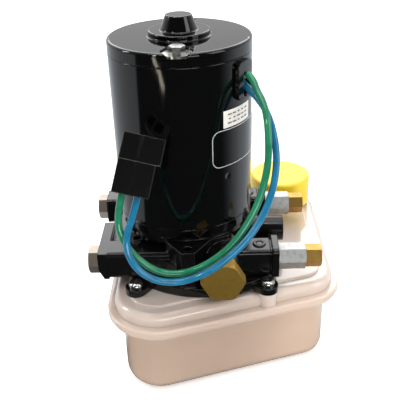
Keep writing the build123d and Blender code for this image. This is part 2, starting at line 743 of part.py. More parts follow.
with BuildPart() as shaft_seal:
    add(ring(body_top, seal_width, seal_radius, shaft_radius + fit_gap))
shaft_seal.part.label = "shaft_seal"
export_step(shaft_seal.part, "parts/shaft_seal.step")

with BuildPart() as lower_bearing:
    add(ring(bearing_z, bearing_width, bearing_radius, shaft_radius + fit_gap))
    groove_z = bearing_z + bearing_width - shield_recess
    groove = ring(groove_z, shield_recess, bearing_radius - race_wall, shaft_radius + race_wall)
    add(groove, mode=Mode.SUBTRACT)
lower_bearing.part.label = "lower_bearing"
export_step(lower_bearing.part, "parts/lower_bearing.step")

# Motor: can with its outlet window
outlet_out = polar(1, outlet_angle)
outlet_side = polar(1, outlet_angle + 90)
outlet_plane = Plane((0, 0, outlet_z), x_dir=outlet_side, z_dir=outlet_out)
dip = radians(wire_dip)
window_plane = Plane(
    (*polar(window_reach, wire_angle), outlet_z),
    x_dir=polar(1, wire_facing + 90),
    z_dir=(*polar(cos(dip), wire_facing), -sin(dip)),
)
with BuildPart() as motor_can:
    add(ring(seam_z, cap_seam_z - seam_z, can_radius, can_bore))
    rims = motor_can.edges().filter_by(GeomType.CIRCLE).sort_by(SortBy.LENGTH)[-2:]
    fillet(rims, seam_round)
    with BuildSketch(outlet_plane):
        RectangleRounded(outlet_neck * outlet_width, outlet_neck * outlet_height, window_round)
    extrude(amount=2 * can_radius, mode=Mode.SUBTRACT)
motor_can.part.label = "motor_can"
export_step(motor_can.part, "parts/motor_can.step")

with BuildPart() as wire_grommet:
    with BuildSketch(outlet_plane):
        RectangleRounded(outlet_width, outlet_height, outlet_round)
    extrude(amount=2 * can_radius)
    rod((0, 0, outlet_z - outlet_height), (0, 0, 1), 2 * outlet_height, can_radius, mode=Mode.SUBTRACT)
    with BuildSketch(outlet_plane):
        RectangleRounded(outlet_neck * outlet_width, outlet_neck * outlet_height, window_round)
    extrude(amount=can_radius + outlet_proud / 2)
    shell_low = outlet_z - outlet_height
    rod((0, 0, shell_low), (0, 0, 1), 2 * outlet_height, can_radius + outlet_proud, mode=Mode.INTERSECT)
    rod((0, 0, shell_low), (0, 0, 1), 2 * outlet_height, can_bore - outlet_lip, mode=Mode.SUBTRACT)
    with BuildSketch(window_plane):
        RectangleRounded(window_width, window_height, window_round)
    extrude(amount=can_radius, mode=Mode.SUBTRACT)
wire_grommet.part.label = "wire_grommet"
export_step(wire_grommet.part, "parts/wire_grommet.step")

# Motor: end cap with the stepped boss and nose, notched for the bolt heads
disc_z = cap_top_z + disc_height
bush_z = cap_seam_z - bush_drop
shaft_room = bush_length + shaft_above_bush + cap_wall / 2
with BuildPart() as motor_end_cap:
    rod((0, 0, cap_seam_z), (0, 0, 1), cap_side, can_radius)
    fillet(motor_end_cap.faces().sort_by(Axis.Z)[-1].edges(), cap_edge_round)
    fillet(motor_end_cap.faces().sort_by(Axis.Z)[0].edges(), seam_round)
    rod((0, 0, bush_z), (0, 0, 1), cap_top_z - bush_z, bush_radius + cap_wall)
    rod((0, 0, cap_top_z), (0, 0, 1), disc_height, disc_radius)
    with Locations((0, 0, disc_z)):
        Cone(nose_base, nose_top, nose_height, align=(Align.CENTER, Align.CENTER, Align.MIN))
    boss_edges = [
        edge
        for edge in motor_end_cap.edges().filter_by(GeomType.CIRCLE)
        if edge.center().Z > cap_top_z - seam_round and edge.radius < (disc_radius + can_radius) / 2
    ]
    fillet(boss_edges, boss_round)
    add(ring(cap_seam_z, cap_side - cap_wall, can_bore, bush_radius + cap_wall), mode=Mode.SUBTRACT)
    rod((0, 0, bush_z), (0, 0, 1), bush_length, bush_radius, mode=Mode.SUBTRACT)
    rod((0, 0, bush_z), (0, 0, 1), shaft_room, shaft_radius + shaft_hole_gap / 2, mode=Mode.SUBTRACT)
    for side in (-1, 1):
        notch = (0, side * bolt_circle, cap_top_z - notch_depth)
        rod(notch, (0, 0, 1), 2 * notch_depth, bolt_flange_radius + notch_gap, mode=Mode.SUBTRACT)
        hole = (0, side * bolt_circle, cap_seam_z)
        rod(hole, (0, 0, 1), cap_side, bolt_radius, mode=Mode.SUBTRACT)
motor_end_cap.part.label = "motor_end_cap"
export_step(motor_end_cap.part, "parts/motor_end_cap.step")

with BuildPart() as upper_bush:
    add(ring(bush_z, bush_length, bush_radius, shaft_radius + fit_gap))
upper_bush.part.label = "upper_bush"
export_step(upper_bush.part, "parts/upper_bush.step")

with BuildPart() as through_bolts:
    head_z = cap_top_z - notch_depth
    for side in (-1, 1):
        y = side * bolt_circle
        foot_z = body_top - bolt_reach
        rod((0, y, foot_z), (0, 0, 1), head_z - foot_z, bolt_radius)
        rod((0, y, head_z), (0, 0, 1), bolt_flange, bolt_flange_radius)
        with Locations((0, y, head_z + bolt_flange)):
            add(hex_head(bolt_flats, bolt_head))
through_bolts.part.label = "through_bolts"
export_step(through_bolts.part, "parts/through_bolts.step")

# Motor: field magnets, bonded to the can
magnet_z = seam_z + magnet_rise
with BuildPart() as field_magnets:
    add(ring(magnet_z, magnet_length, can_bore, can_bore - magnet_thickness))
    gap = 90 - magnet_arc / 2
    reach = 2 * can_radius
    with BuildSketch(Plane.XY.offset(magnet_z)):
        for side in (-1, 1):
            with BuildLine():
                Polyline(
                    (0, 0),
                    (reach * sin(radians(gap)), side * reach * cos(radians(gap))),
                    (-reach * sin(radians(gap)), side * reach * cos(radians(gap))),
                    close=True,
                )
            make_face()
    extrude(amount=magnet_length, mode=Mode.SUBTRACT)
field_magnets.part.label = "field_magnets"
export_step(field_magnets.part, "parts/field_magnets.step")

# Rotor: shaft, slotted core, windings and commutator
core_z = magnet_z + (magnet_length - core_length) / 2
slot_bottom = core_radius - slot_depth
shaft_top = bush_z + bush_length + shaft_above_bush
with BuildPart() as motor_shaft:
    rod((0, 0, shaft_bottom), (0, 0, 1), shaft_top - shaft_bottom, shaft_radius)
motor_shaft.part.label = "motor_shaft"
export_step(motor_shaft.part, "parts/motor_shaft.step")

with BuildPart() as armature_core:
    add(ring(core_z, core_length, core_radius, shaft_radius))
    with BuildSketch(Plane.XY.offset(core_z)):
        with PolarLocations((slot_bottom + core_radius) / 2, core_slots):
            Rectangle(slot_depth, slot_width)
    extrude(amount=core_length, mode=Mode.SUBTRACT)
armature_core.part.label = "armature_core"
export_step(armature_core.part, "parts/armature_core.step")

winding_outer = core_radius - winding_step
winding_inner = shaft_radius + winding_hub
with BuildPart() as armature_windings:
    with BuildSketch(Plane.XY.offset(core_z)):
        with PolarLocations((slot_bottom + winding_outer) / 2, core_slots):
            Rectangle(winding_outer - slot_bottom, slot_width)
    extrude(amount=core_length)
    for bottom in (core_z - winding_height, core_z + core_length):
        add(ring(bottom, winding_height, winding_outer, winding_inner))
armature_windings.part.label = "armature_windings"
export_step(armature_windings.part, "parts/armature_windings.step")

commutator_z = core_z + core_length + winding_height + commutator_gap
with BuildPart() as commutator:
    add(ring(commutator_z, commutator_length, commutator_radius, shaft_radius))
commutator.part.label = "commutator"
export_step(commutator.part, "parts/commutator.step")

# Brush gear
brush_z = commutator_z + commutator_length / 2
brush_plate_z = brush_z - brush_height / 2 - holder_wall - brush_plate_thickness
brush_start = commutator_radius + fit_gap
brush_end = brush_start + brush_length
holder_start = commutator_radius + brush_plate_gap
holder_end = brush_end + brush_spring_room
with BuildPart() as brush_holder:
    add(ring(brush_plate_z, brush_plate_thickness, can_bore, holder_start))
    for side in (-1, 1):
        bolt_spot = (0, side * bolt_circle, brush_plate_z)
        rod(bolt_spot, (0, 0, 1), brush_plate_thickness, bolt_radius + body_gap, mode=Mode.SUBTRACT)
    box_low = brush_plate_z + brush_plate_thickness
    box_width, box_height = brush_width + 2 * holder_wall, brush_height + 2 * holder_wall
    with BuildSketch(Plane.XY.offset(box_low)):
        for side in (-1, 1):
            with Locations((side * (holder_start + holder_end + holder_wall) / 2, 0)):
                Rectangle(holder_end + holder_wall - holder_start, box_width)
    extrude(amount=box_height)
    with BuildSketch(Plane.XY.offset(box_low + holder_wall)):
        Rectangle(2 * holder_end, brush_width)
    extrude(amount=brush_height, mode=Mode.SUBTRACT)
brush_holder.part.label = "brush_holder"
export_step(brush_holder.part, "parts/brush_holder.step")

with BuildPart() as carbon_brushes:
    with BuildSketch(Plane.XY.offset(brush_z - brush_height / 2)):
        for side in (-1, 1):
            with Locations((side * (brush_start + brush_end) / 2, 0)):
                Rectangle(brush_length, brush_width)
    extrude(amount=brush_height)
    rod((0, 0, commutator_z), (0, 0, 1), commutator_length, brush_start, mode=Mode.SUBTRACT)
carbon_brushes.part.label = "carbon_brushes"
export_step(carbon_brushes.part, "parts/carbon_brushes.step")

with BuildPart() as brush_springs:
    for side in (-1, 1):
        with Locations(Plane((side * brush_end, 0, brush_z), x_dir=(0, 1, 0), z_dir=(side, 0, 0))):
            add(coil_spring(holder_end - brush_end))
brush_springs.part.label = "brush_springs"
export_step(brush_springs.part, "parts/brush_springs.step")


# Gear pump under the casting: housing, cover, two gears on their shafts, coupling and filter
gear_pocket = gear_width + 2 * fit_gap
with BuildPart() as pump_housing:
    with BuildSketch(Plane.XY.offset(gear_bottom)):
        with Locations((gear_spacing / 2, 0)):
            RectangleRounded(2 * pump_half_x, 2 * pump_half_y, pump_corner)
    extrude(amount=pump_depth)
    for x in (0, gear_spacing):
        rod((x, 0, gear_bottom), (0, 0, 1), gear_pocket, tip_radius + gear_clearance, mode=Mode.SUBTRACT)
    rod((0, 0, gear_bottom), (0, 0, 1), pump_depth, pump_shaft_radius + fit_gap, mode=Mode.SUBTRACT)
    blind = gear_pocket + shaft_hole_depth
    rod((gear_spacing, 0, gear_bottom), (0, 0, 1), blind, pump_shaft_radius + fit_gap, mode=Mode.SUBTRACT)
    with BuildSketch(Plane.XY.offset(gear_bottom)):
        with Locations((gear_spacing / 2, inlet_y / 2)):
            Rectangle(2 * inlet_radius, inlet_y)
        with Locations((gear_spacing / 2, inlet_y)):
            Circle(inlet_radius)
    extrude(amount=gear_width / 2, mode=Mode.SUBTRACT)
    with BuildSketch(Plane.XY.offset(gear_bottom)):
        with Locations((gear_spacing / 2, -port_y / 2)):
            Rectangle(2 * port_radius, port_y)
        with Locations((gear_spacing / 2, -port_y)):
            Circle(port_radius)
    extrude(amount=gear_width / 2, mode=Mode.SUBTRACT)
    port_foot = (gear_spacing / 2, -port_y, gear_bottom)
    rod(port_foot, (0, 0, 1), pump_depth, port_radius, mode=Mode.SUBTRACT)
    for x, y in pump_bolt_spots:
        rod((x, y, gear_bottom), (0, 0, 1), pump_depth, pump_bolt_radius, mode=Mode.SUBTRACT)
pump_housing.part.label = "pump_housing"
export_step(pump_housing.part, "parts/pump_housing.step")

with BuildPart() as pump_cover:
    with BuildSketch(Plane.XY.offset(cover_bottom)):
        with Locations((gear_spacing / 2, 0)):
            RectangleRounded(2 * pump_half_x, 2 * pump_half_y, pump_corner)
    extrude(amount=pump_cover_thickness)
    chamfer(pump_cover.faces().sort_by(Axis.Z)[0].edges(), cover_chamfer)
    for x in (0, gear_spacing):
        rod((x, 0, gear_bottom), (0, 0, -1), shaft_hole_depth, pump_shaft_radius + fit_gap, mode=Mode.SUBTRACT)
    inlet = (gear_spacing / 2, inlet_y, cover_bottom)
    rod(inlet, (0, 0, 1), pump_cover_thickness, inlet_radius, mode=Mode.SUBTRACT)
    for x, y in pump_bolt_spots:
        rod((x, y, cover_bottom), (0, 0, 1), pump_cover_thickness, pump_bolt_radius, mode=Mode.SUBTRACT)
pump_cover.part.label = "pump_cover"
export_step(pump_cover.part, "parts/pump_cover.step")

with BuildPart() as pump_bolts:
    for x, y in pump_bolt_spots:
        length = pump_cover_thickness + pump_depth + pump_bolt_reach
        rod((x, y, cover_bottom), (0, 0, 1), length, pump_bolt_radius)
        rod((x, y, cover_bottom), (0, 0, -1), pump_bolt_height, pump_bolt_head)
        with BuildSketch(Plane.XY.offset(cover_bottom - pump_bolt_height)):
            with Locations((x, y)):
                RegularPolygon(pump_socket, 6)
        extrude(amount=pump_socket_depth, mode=Mode.SUBTRACT)
pump_bolts.part.label = "pump_bolts"
export_step(pump_bolts.part, "parts/pump_bolts.step")

with BuildPart() as intake_filter:
    rod(inlet, (0, 0, -1), filter_height, filter_radius)
    chamfer(intake_filter.faces().sort_by(Axis.Z)[0].edges(), cover_chamfer)
    rod(inlet, (0, 0, -1), filter_height - filter_floor, inlet_radius, mode=Mode.SUBTRACT)
intake_filter.part.label = "intake_filter"
export_step(intake_filter.part, "parts/intake_filter.step")


def gear_points(first_tooth):
    """Outline of an involute gear, one tooth centred on the angle first_tooth in degrees."""
    base = pitch_radius * cos(radians(pressure_angle))
    root = pitch_radius - 1.25 * gear_module

    def involute(angle):
        return tan(angle) - angle

    half_at_pitch = pi / (2 * gear_teeth) - backlash / (4 * pitch_radius)
    radii = [base + (tip_radius - base) * step / 5 for step in range(6)]
    flank = []
    for radius in radii:
        half = half_at_pitch + involute(radians(pressure_angle)) - involute(acos(base / radius))
        flank.append((radius, half))
    flank = [(root, flank[0][1])] + flank
    points = []
    for tooth in range(gear_teeth):
        middle = radians(first_tooth) + 2 * pi * tooth / gear_teeth
        for radius, half in flank:
            points.append((radius * cos(middle - half), radius * sin(middle - half)))
        for radius, half in reversed(flank):
            points.append((radius * cos(middle + half), radius * sin(middle + half)))
    return points


def pump_gear(x, first_tooth):
    """Gear blank between the housing's faces, centred on x."""
    with BuildPart() as blank:
        with BuildSketch(Plane.XY.offset(gear_bottom + fit_gap)):
            with BuildLine():
                Polyline(*[(x + u, v) for u, v in gear_points(first_tooth)], close=True)
            make_face()
        extrude(amount=gear_width)
    return blank.part


pump_shaft_foot = gear_bottom - shaft_hole_depth + shaft_end_gap
pump_shaft_top = shaft_bottom - shaft_end_gap
with BuildPart() as drive_gear:
    add(pump_gear(0, 0))
    rod((0, 0, pump_shaft_foot), (0, 0, 1), pump_shaft_top - pump_shaft_foot, pump_shaft_radius)
drive_gear.part.label = "drive_gear"
export_step(drive_gear.part, "parts/drive_gear.step")

with BuildPart() as driven_gear:
    add(pump_gear(gear_spacing, 180 / gear_teeth))
    driven_length = gear_pocket + 2 * (shaft_hole_depth - shaft_end_gap)
    rod((gear_spacing, 0, pump_shaft_foot), (0, 0, 1), driven_length, pump_shaft_radius)
driven_gear.part.label = "driven_gear"
export_step(driven_gear.part, "parts/driven_gear.step")

coupling_bottom = cavity_floor + coupling_gap
with BuildPart() as shaft_coupling:
    add(ring(coupling_bottom, pump_shaft_top - coupling_bottom, coupling_radius, pump_shaft_radius))
    upper_length = body_top - coupling_drop - pump_shaft_top
    add(ring(pump_shaft_top, upper_length, coupling_radius, shaft_radius))
shaft_coupling.part.label = "shaft_coupling"
export_step(shaft_coupling.part, "parts/shaft_coupling.step")

# Seal and screws between the casting and the reservoir
with BuildPart() as reservoir_seal:
    add(ring(tank_height, seal_groove_depth, seal_outer, seal_inner, opening_x, opening_y))
reservoir_seal.part.label = "reservoir_seal"
export_step(reservoir_seal.part, "parts/reservoir_seal.step")

with BuildPart() as tank_screws:
    seat = tank_height + ear_height
    for x, y in ears:
        rod((x, y, tank_height - screw_depth), (0, 0, 1), seat - tank_height + screw_depth, screw_radius)
        rod((x, y, seat), (0, 0, 1), screw_head_height, screw_head)
    tops = tank_screws.faces().filter_by(Axis.Z).sort_by(Axis.Z)[-len(ears):]
    fillet(tops.edges(), 0.6 * screw_head_height)
    with BuildSketch(Plane.XY.offset(seat + screw_head_height)):
        with Locations(*ears):
            Rectangle(cross_length, cross_width)
            Rectangle(cross_width, cross_length)
    extrude(amount=-cross_depth, mode=Mode.SUBTRACT)
tank_screws.part.label = "tank_screws"
export_step(tank_screws.part, "parts/tank_screws.step")

# Filler cap with its gasket
cap_foot = tank_height + cap_lift
with BuildPart() as filler_cap:
    rod((neck_x, neck_y, cap_foot), (0, 0, 1), cap_height, cap_radius)
    fillet(filler_cap.faces().sort_by(Axis.Z)[-1].edges(), cap_round)
    skirt_inner = neck_radius + thread_gap
    rod((neck_x, neck_y, cap_foot), (0, 0, 1), cap_height - cap_top, skirt_inner, mode=Mode.SUBTRACT)
filler_cap.part.label = "filler_cap"
export_step(filler_cap.part, "parts/filler_cap.step")

with BuildPart() as cap_gasket:
    neck_top = tank_height + neck_height
    add(ring(neck_top, gasket_thickness, neck_radius, neck_radius - neck_wall, neck_x, neck_y))
cap_gasket.part.label = "cap_gasket"
export_step(cap_gasket.part, "parts/cap_gasket.step")

# Plug on the end of the lead: two stepped blocks with a cavity for each wire's terminal
plug_frame = Location(plug_foot, (-plug_tilt, plug_lean, plug_turn))
plug_total = plug_lower + plug_upper
upper_shift = (plug_upper_width - plug_width) / 2
with BuildPart() as housing_blank:
    with BuildSketch():
        RectangleRounded(plug_width, plug_depth, 0.8)
    extrude(amount=plug_lower)
    with BuildSketch(Plane.XY.offset(plug_lower)):
        with Locations((upper_shift, 0)):
            RectangleRounded(plug_upper_width, plug_depth, 0.8)
    extrude(amount=plug_upper)
    with BuildSketch(Plane.XY.offset(plug_floor)):
        with Locations((-plug_pitch / 2, 0), (plug_pitch / 2, 0)):
            Rectangle(plug_cavity, plug_cavity)
    extrude(amount=plug_total, mode=Mode.SUBTRACT)
    with Locations((0, -plug_depth / 2, plug_total / 2)):
        Box(0.9, 1.0, plug_total, mode=Mode.SUBTRACT)
with BuildPart() as connector_housing:
    add(plug_frame * housing_blank.part)
connector_housing.part.label = "connector_housing"
export_step(connector_housing.part, "parts/connector_housing.step")

with BuildPart() as terminal_blank:
    with BuildSketch(Plane.XY.offset(plug_floor)):
        with Locations((-plug_pitch / 2, 0), (plug_pitch / 2, 0)):
            Rectangle(terminal_size, terminal_size)
    extrude(amount=plug_total - plug_floor - 6)
with BuildPart() as connector_terminals:
    add(plug_frame * terminal_blank.part)
connector_terminals.part.label = "connector_terminals"
export_step(connector_terminals.part, "parts/connector_terminals.step")


# Lead: two loose wires from the outlet down in a loop to the plug's foot
def lead_wire(name, rise, route, entry_x, last_run):
    """Round wire along rounded corners from the outlet's window to the plug."""
    start = window_plane.from_local_coords(Vector(0, rise, 0))
    after_start = window_plane.from_local_coords(Vector(0, rise, wire_lead))
    end = (plug_frame * Location((entry_x, 0, 0))).position
    before_end = (plug_frame * Location((entry_x, 0, -last_run))).position
    points = [start, after_start, *[Vector(*point) for point in route], before_end, end]
    radii = []
    for before, corner, after in zip(points, points[1:], points[2:]):
        arrive, leave = corner - before, after - corner
        radii.append(0.45 * min(arrive.length, leave.length) / tan(radians(arrive.get_angle(leave) / 2)))
    with BuildPart() as wire:
        with BuildLine() as path:
            FilletPolyline(*points, radius=radii)
        with BuildSketch(Plane(path.line @ 0, z_dir=path.line % 0)):
            Circle(wire_diameter / 2)
        sweep()
    wire.part.label = name
    export_step(wire.part, f"parts/{name}.step")
    length = sum(edge.length for edge in path.edges())
    ratio = wire.part.volume / (pi * wire_diameter**2 / 4 * length)
    print(name, "length", round(length, 1), "volume ratio", round(ratio, 4))
    print(" radii", [round(radius, 1) for radius in radii])
    print(" points", [tuple(round(value, 2) for value in point) for point in points])


lead_wire("wire_blue", -wire_pitch / 2, blue_route, plug_pitch / 2, 10)
lead_wire("wire_green", wire_pitch / 2, green_route, -plug_pitch / 2, 13)
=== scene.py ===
"""Power trim pump: the finishes, wires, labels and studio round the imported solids.

Run as a script: it registers the add-on's classes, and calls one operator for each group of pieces
and one for the stage.
"""

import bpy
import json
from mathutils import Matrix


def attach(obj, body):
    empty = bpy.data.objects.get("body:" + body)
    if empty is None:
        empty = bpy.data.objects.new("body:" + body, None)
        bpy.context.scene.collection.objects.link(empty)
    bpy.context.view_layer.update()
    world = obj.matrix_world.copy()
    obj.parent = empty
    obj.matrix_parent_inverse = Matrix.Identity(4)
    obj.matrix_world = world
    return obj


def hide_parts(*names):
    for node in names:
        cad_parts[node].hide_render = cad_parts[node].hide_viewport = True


bl_info = {
    "name": "Power trim pump",
    "version": (1, 0, 0),
    "blender": (4, 5, 0),
    "location": "View3D > Sidebar > Trim pump",
    "description": "Finishes, wires, labels and studio of a boat's power trim pump",
    "category": "Object",
}

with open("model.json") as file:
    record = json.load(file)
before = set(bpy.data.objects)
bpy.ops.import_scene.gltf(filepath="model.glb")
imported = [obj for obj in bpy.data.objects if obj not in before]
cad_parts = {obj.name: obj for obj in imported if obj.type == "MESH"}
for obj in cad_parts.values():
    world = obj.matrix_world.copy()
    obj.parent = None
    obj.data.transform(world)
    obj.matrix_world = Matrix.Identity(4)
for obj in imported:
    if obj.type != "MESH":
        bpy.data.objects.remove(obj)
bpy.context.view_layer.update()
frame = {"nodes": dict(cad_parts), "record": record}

import json
import math

import bpy
from mathutils import Matrix, Vector

MM = 0.001

# Routes of the two wires, in metres, with the same points as the solids
BLUE_ROUTE = (
    (0.03414, -0.01912, 0.17764), (0.03704, -0.02234, 0.17514), (0.0403, -0.0265, 0.1729),
    (0.0448, -0.0308, 0.1677), (0.0479, -0.0365, 0.1614), (0.0497, -0.0428, 0.1536),
    (0.0504, -0.0485, 0.1441), (0.0482, -0.0555, 0.132), (0.0424, -0.0625, 0.1193),
    (0.0328, -0.0685, 0.1071), (0.018, -0.0725, 0.0948), (0.002, -0.0736, 0.0873),
    (-0.0118, -0.0738, 0.0871), (-0.0224, -0.0738, 0.0934), (-0.0282, -0.073, 0.1038),
    (-0.0287, -0.0695, 0.1142), (-0.02489, -0.06359, 0.12215), (-0.02255, -0.05895, 0.13069),
)
GREEN_ROUTE = (
    (0.03635, -0.02158, 0.18336), (0.03925, -0.02479, 0.18086), (0.0405, -0.0285, 0.1769),
    (0.0439, -0.035, 0.172), (0.0454, -0.0418, 0.1655), (0.0458, -0.0476, 0.1563),
    (0.0457, -0.051, 0.1449), (0.0424, -0.0565, 0.1309), (0.0363, -0.0615, 0.1177),
    (0.0267, -0.0655, 0.1044), (0.0133, -0.0678, 0.094), (-0.0008, -0.0686, 0.0884),
    (-0.0135, -0.0687, 0.09), (-0.0237, -0.0685, 0.0984), (-0.031, -0.068, 0.1098),
    (-0.03348, -0.06508, 0.1218), (-0.03045, -0.05905, 0.13291),
)
# Their lengths along the swept solids
BLUE_LENGTH = 0.2009
GREEN_LENGTH = 0.1952

# The plug's foot, its turns about X, Y and Z in degrees, and the height above its foot where its
# halves meet, along which a painted highlight runs
PLUG_FOOT = (-0.0265, -0.059, 0.1318)
PLUG_TURN = (-28.5, 13.5, 8.0)
PLUG_SEAM = 0.0178

# A dent low on the can, at the right of the front: its middle, and where its floor and rim end
DENT_MIDDLE = (0.0253, -0.031, 0.128)
DENT_FLOOR = 0.8 * MM
DENT_RIM = 2.2 * MM

# Points on the axes round which the relief cap and the front line nut were turned
RELIEF_AXIS = (0.0213, -0.06, 0.077)
NUT_AXIS = (0.0772, -0.0326, 0.0756)

# The gear pump in the tank, the distances from it between which its shade fades out, the shade's
# depth, and the heights on the wall between which the tank's colour warms
PUMP_MIDDLE = (0.0, -0.02, 0.035)
SHADE_NEAR = 0.038
SHADE_FAR = 0.075
SHADE_DEPTH = 0.72
WARM_TOP = 0.062
WARM_BOTTOM = 0.030

# The camera's place, the directions it looks along, and its lens and film width in millimetres
CAMERA_SPOT = (0.01644, -0.36203, 0.29144)
CAMERA_RIGHT = (0.99960, 0.00689, -0.02736)
CAMERA_UP = (0.02082, 0.47433, 0.88010)
CAMERA_AHEAD = (-0.01904, 0.88032, -0.47400)
CAMERA_LENS = 59.67
FILM_WIDTH = 36.0

# How far the floor reaches each way, in metres
FLOOR_REACH = 6.0

# The warm streak painted on the floor as a reflection, glowing to gloss alone so that the can mirrors it: its
# strength, how far its full light and its faded edge reach to each side in radians, how deep its edges are
# torn, and a tear's length in metres
STREAK_LEVEL = 6.0
STREAK_CORE = 0.09
STREAK_SIDE = 0.12
STREAK_TORN = 0.12
STREAK_TEAR = 1 / 28

# Strength of the studio's unlit side, as gloss mirrors it
DARK = 0.06


def linear(code):
    """A hex sRGB colour as linear red, green, blue and alpha."""
    parts = [int(code[i:i + 2], 16) / 255 for i in (1, 3, 5)]
    return [c / 12.92 if c <= 0.04045 else ((c + 0.055) / 1.055) ** 2.4 for c in parts] + [1.0]


def feed(tree, node, inputs):
    """Gives each input its value or its link; a node stands for its first output."""
    for name, value in inputs.items():
        if isinstance(value, bpy.types.Node):
            value = value.outputs[0]
        if isinstance(value, bpy.types.NodeSocket):
            tree.links.new(value, node.inputs[name])
        else:
            node.inputs[name].default_value = value


def add_node(tree, kind, inputs=None, **settings):
    """Adds a node with its settings and with a value or a link for each input."""
    node = tree.nodes.new(kind)
    for name, value in settings.items():
        setattr(node, name, value)
    feed(tree, node, inputs or {})
    return node


def start_material(name):
    """A new material, its node tree and its Object coordinates."""
    material = bpy.data.materials.new(name)
    material.use_nodes = True
    tree = material.node_tree
    return material, tree, add_node(tree, "ShaderNodeTexCoord").outputs["Object"]


def finished(material, **inputs):
    """The material with its shader fed; an underscore in an input's name stands for a space."""
    tree = material.node_tree
    feed(tree, tree.nodes["Principled BSDF"], {k.replace("_", " "): v for k, v in inputs.items()})
    return material


def two_tone(tree, factor, first, second, start=0.0, end=1.0):
    """Colour that goes from the first hex colour to the second as factor goes from start to end."""
    node = add_node(tree, "ShaderNodeValToRGB", {"Fac": factor})
    for stop, place, code in zip(node.color_ramp.elements, (start, end), (first, second)):
        stop.position = place
        stop.color = linear(code)
    return node


def relief(tree, height, strength, depth, rounding, samples=4):
    """Normal of a surface with a pattern raised on it and its edges rounded, both in mm."""
    edge = add_node(tree, "ShaderNodeBevel", {"Radius": rounding * MM}, samples=samples)
    return add_node(tree, "ShaderNodeBump", {
        "Height": height, "Normal": edge, "Strength": strength, "Distance": depth * MM,
    })


# Finishes


def gloss_enamel(colours):
    """Sprayed gloss enamel on drawn steel: near black, mirror-like, with a faint orange peel."""
    material, tree, coords = start_material("gloss_enamel")
    # Real orange peel is a millimetre or two across, and is drawn at 5 mm so that it shows
    peel = add_node(tree, "ShaderNodeTexNoise", {"Vector": coords, "Scale": 1 / (5 * MM), "Detail": 2.0})
    haze = add_node(tree, "ShaderNodeTexNoise", {"Vector": coords, "Scale": 1 / (24 * MM), "Detail": 3.0})
    # One small dent, like the one in the real can
    away = add_node(tree, "ShaderNodeVectorMath", {0: coords, 1: DENT_MIDDLE}, operation="DISTANCE")
    dent = add_node(
        tree, "ShaderNodeMapRange",
        {"Value": away.outputs["Value"], "From Min": DENT_FLOOR, "From Max": DENT_RIM},
        interpolation_type="SMOOTHSTEP",
    )
    bump = add_node(tree, "ShaderNodeBump", {
        "Height": peel, "Normal": relief(tree, dent, strength=1.0, depth=0.35, rounding=0.5),
        "Strength": 0.35, "Distance": 0.02 * MM,
    })
    gloss = add_node(tree, "ShaderNodeMapRange", {"Value": haze, "To Min": 0.03, "To Max": 0.09})
    return finished(
        material, Base_Color=linear(colours.enamel), Roughness=gloss, Normal=bump, IOR=1.5,
    )


def painted_casting(colours):
    """Die-cast aluminium under black enamel: the casting's grain shows through a softer gloss."""
    material, tree, coords = start_material("painted_casting")
    # The grain under real paint is a third of a millimetre, and is drawn at 0.9 mm so that it shows
    grain = add_node(tree, "ShaderNodeTexNoise", {"Vector": coords, "Scale": 1 / (0.9 * MM), "Detail": 4.0})
    patches = add_node(tree, "ShaderNodeTexNoise", {"Vector": coords, "Scale": 1 / (14 * MM), "Detail": 3.0})
    gloss = add_node(tree, "ShaderNodeMapRange", {"Value": patches, "To Min": 0.13, "To Max": 0.26})
    return finished(
        material, Base_Color=linear(colours.casting_paint), Roughness=gloss, IOR=1.45,
        Normal=relief(tree, grain, strength=0.5, depth=0.05, rounding=1.0, samples=8),
    )


def moulded_tank(colours):
    """Natural polyamide, injection moulded: milky and waxy, warmer and deeper low on the wall."""
    material, tree, coords = start_material("moulded_tank")
    height = add_node(tree, "ShaderNodeSeparateXYZ", {"Vector": coords}).outputs["Z"]
    cloud = add_node(tree, "ShaderNodeTexNoise", {"Vector": coords, "Scale": 1 / (38 * MM), "Detail": 3.0})
    low = add_node(tree, "ShaderNodeMapRange", {
        "Value": height, "From Min": WARM_TOP, "From Max": WARM_BOTTOM,
    })
    # Faint clouds from the melt's flow break up the warm shade
    faint = add_node(tree, "ShaderNodeMath", {0: cloud, 1: 0.35}, operation="MULTIPLY")
    warm = add_node(tree, "ShaderNodeMath", {0: faint, 1: low}, operation="ADD")
    colour = two_tone(tree, warm, colours.tank_rim, colours.tank_wall, start=0.1)
    # The pump inside shows through the milky wall as a soft shade
    inside = add_node(tree, "ShaderNodeVectorMath", {0: coords, 1: PUMP_MIDDLE}, operation="DISTANCE")
    shade = add_node(
        tree, "ShaderNodeMapRange",
        {
            "Value": inside.outputs["Value"], "From Min": SHADE_NEAR, "From Max": SHADE_FAR,
            "To Min": SHADE_DEPTH,
        },
        interpolation_type="SMOOTHSTEP",
    )
    shaded = add_node(tree, "ShaderNodeVectorMath", {0: colour, "Scale": shade}, operation="SCALE")
    ripple = add_node(tree, "ShaderNodeTexNoise", {"Vector": coords, "Scale": 1 / (9 * MM), "Detail": 2.0})
    return finished(
        material, Base_Color=shaded, Roughness=0.3, IOR=1.53,
        Normal=relief(tree, ripple, strength=0.3, depth=0.06, rounding=0.8),
        Subsurface_Weight=0.55, Subsurface_Radius=(0.9, 0.55, 0.4), Subsurface_Scale=6 * MM,
        Coat_Weight=1.0, Coat_Roughness=0.03, Coat_IOR=1.6,
    )


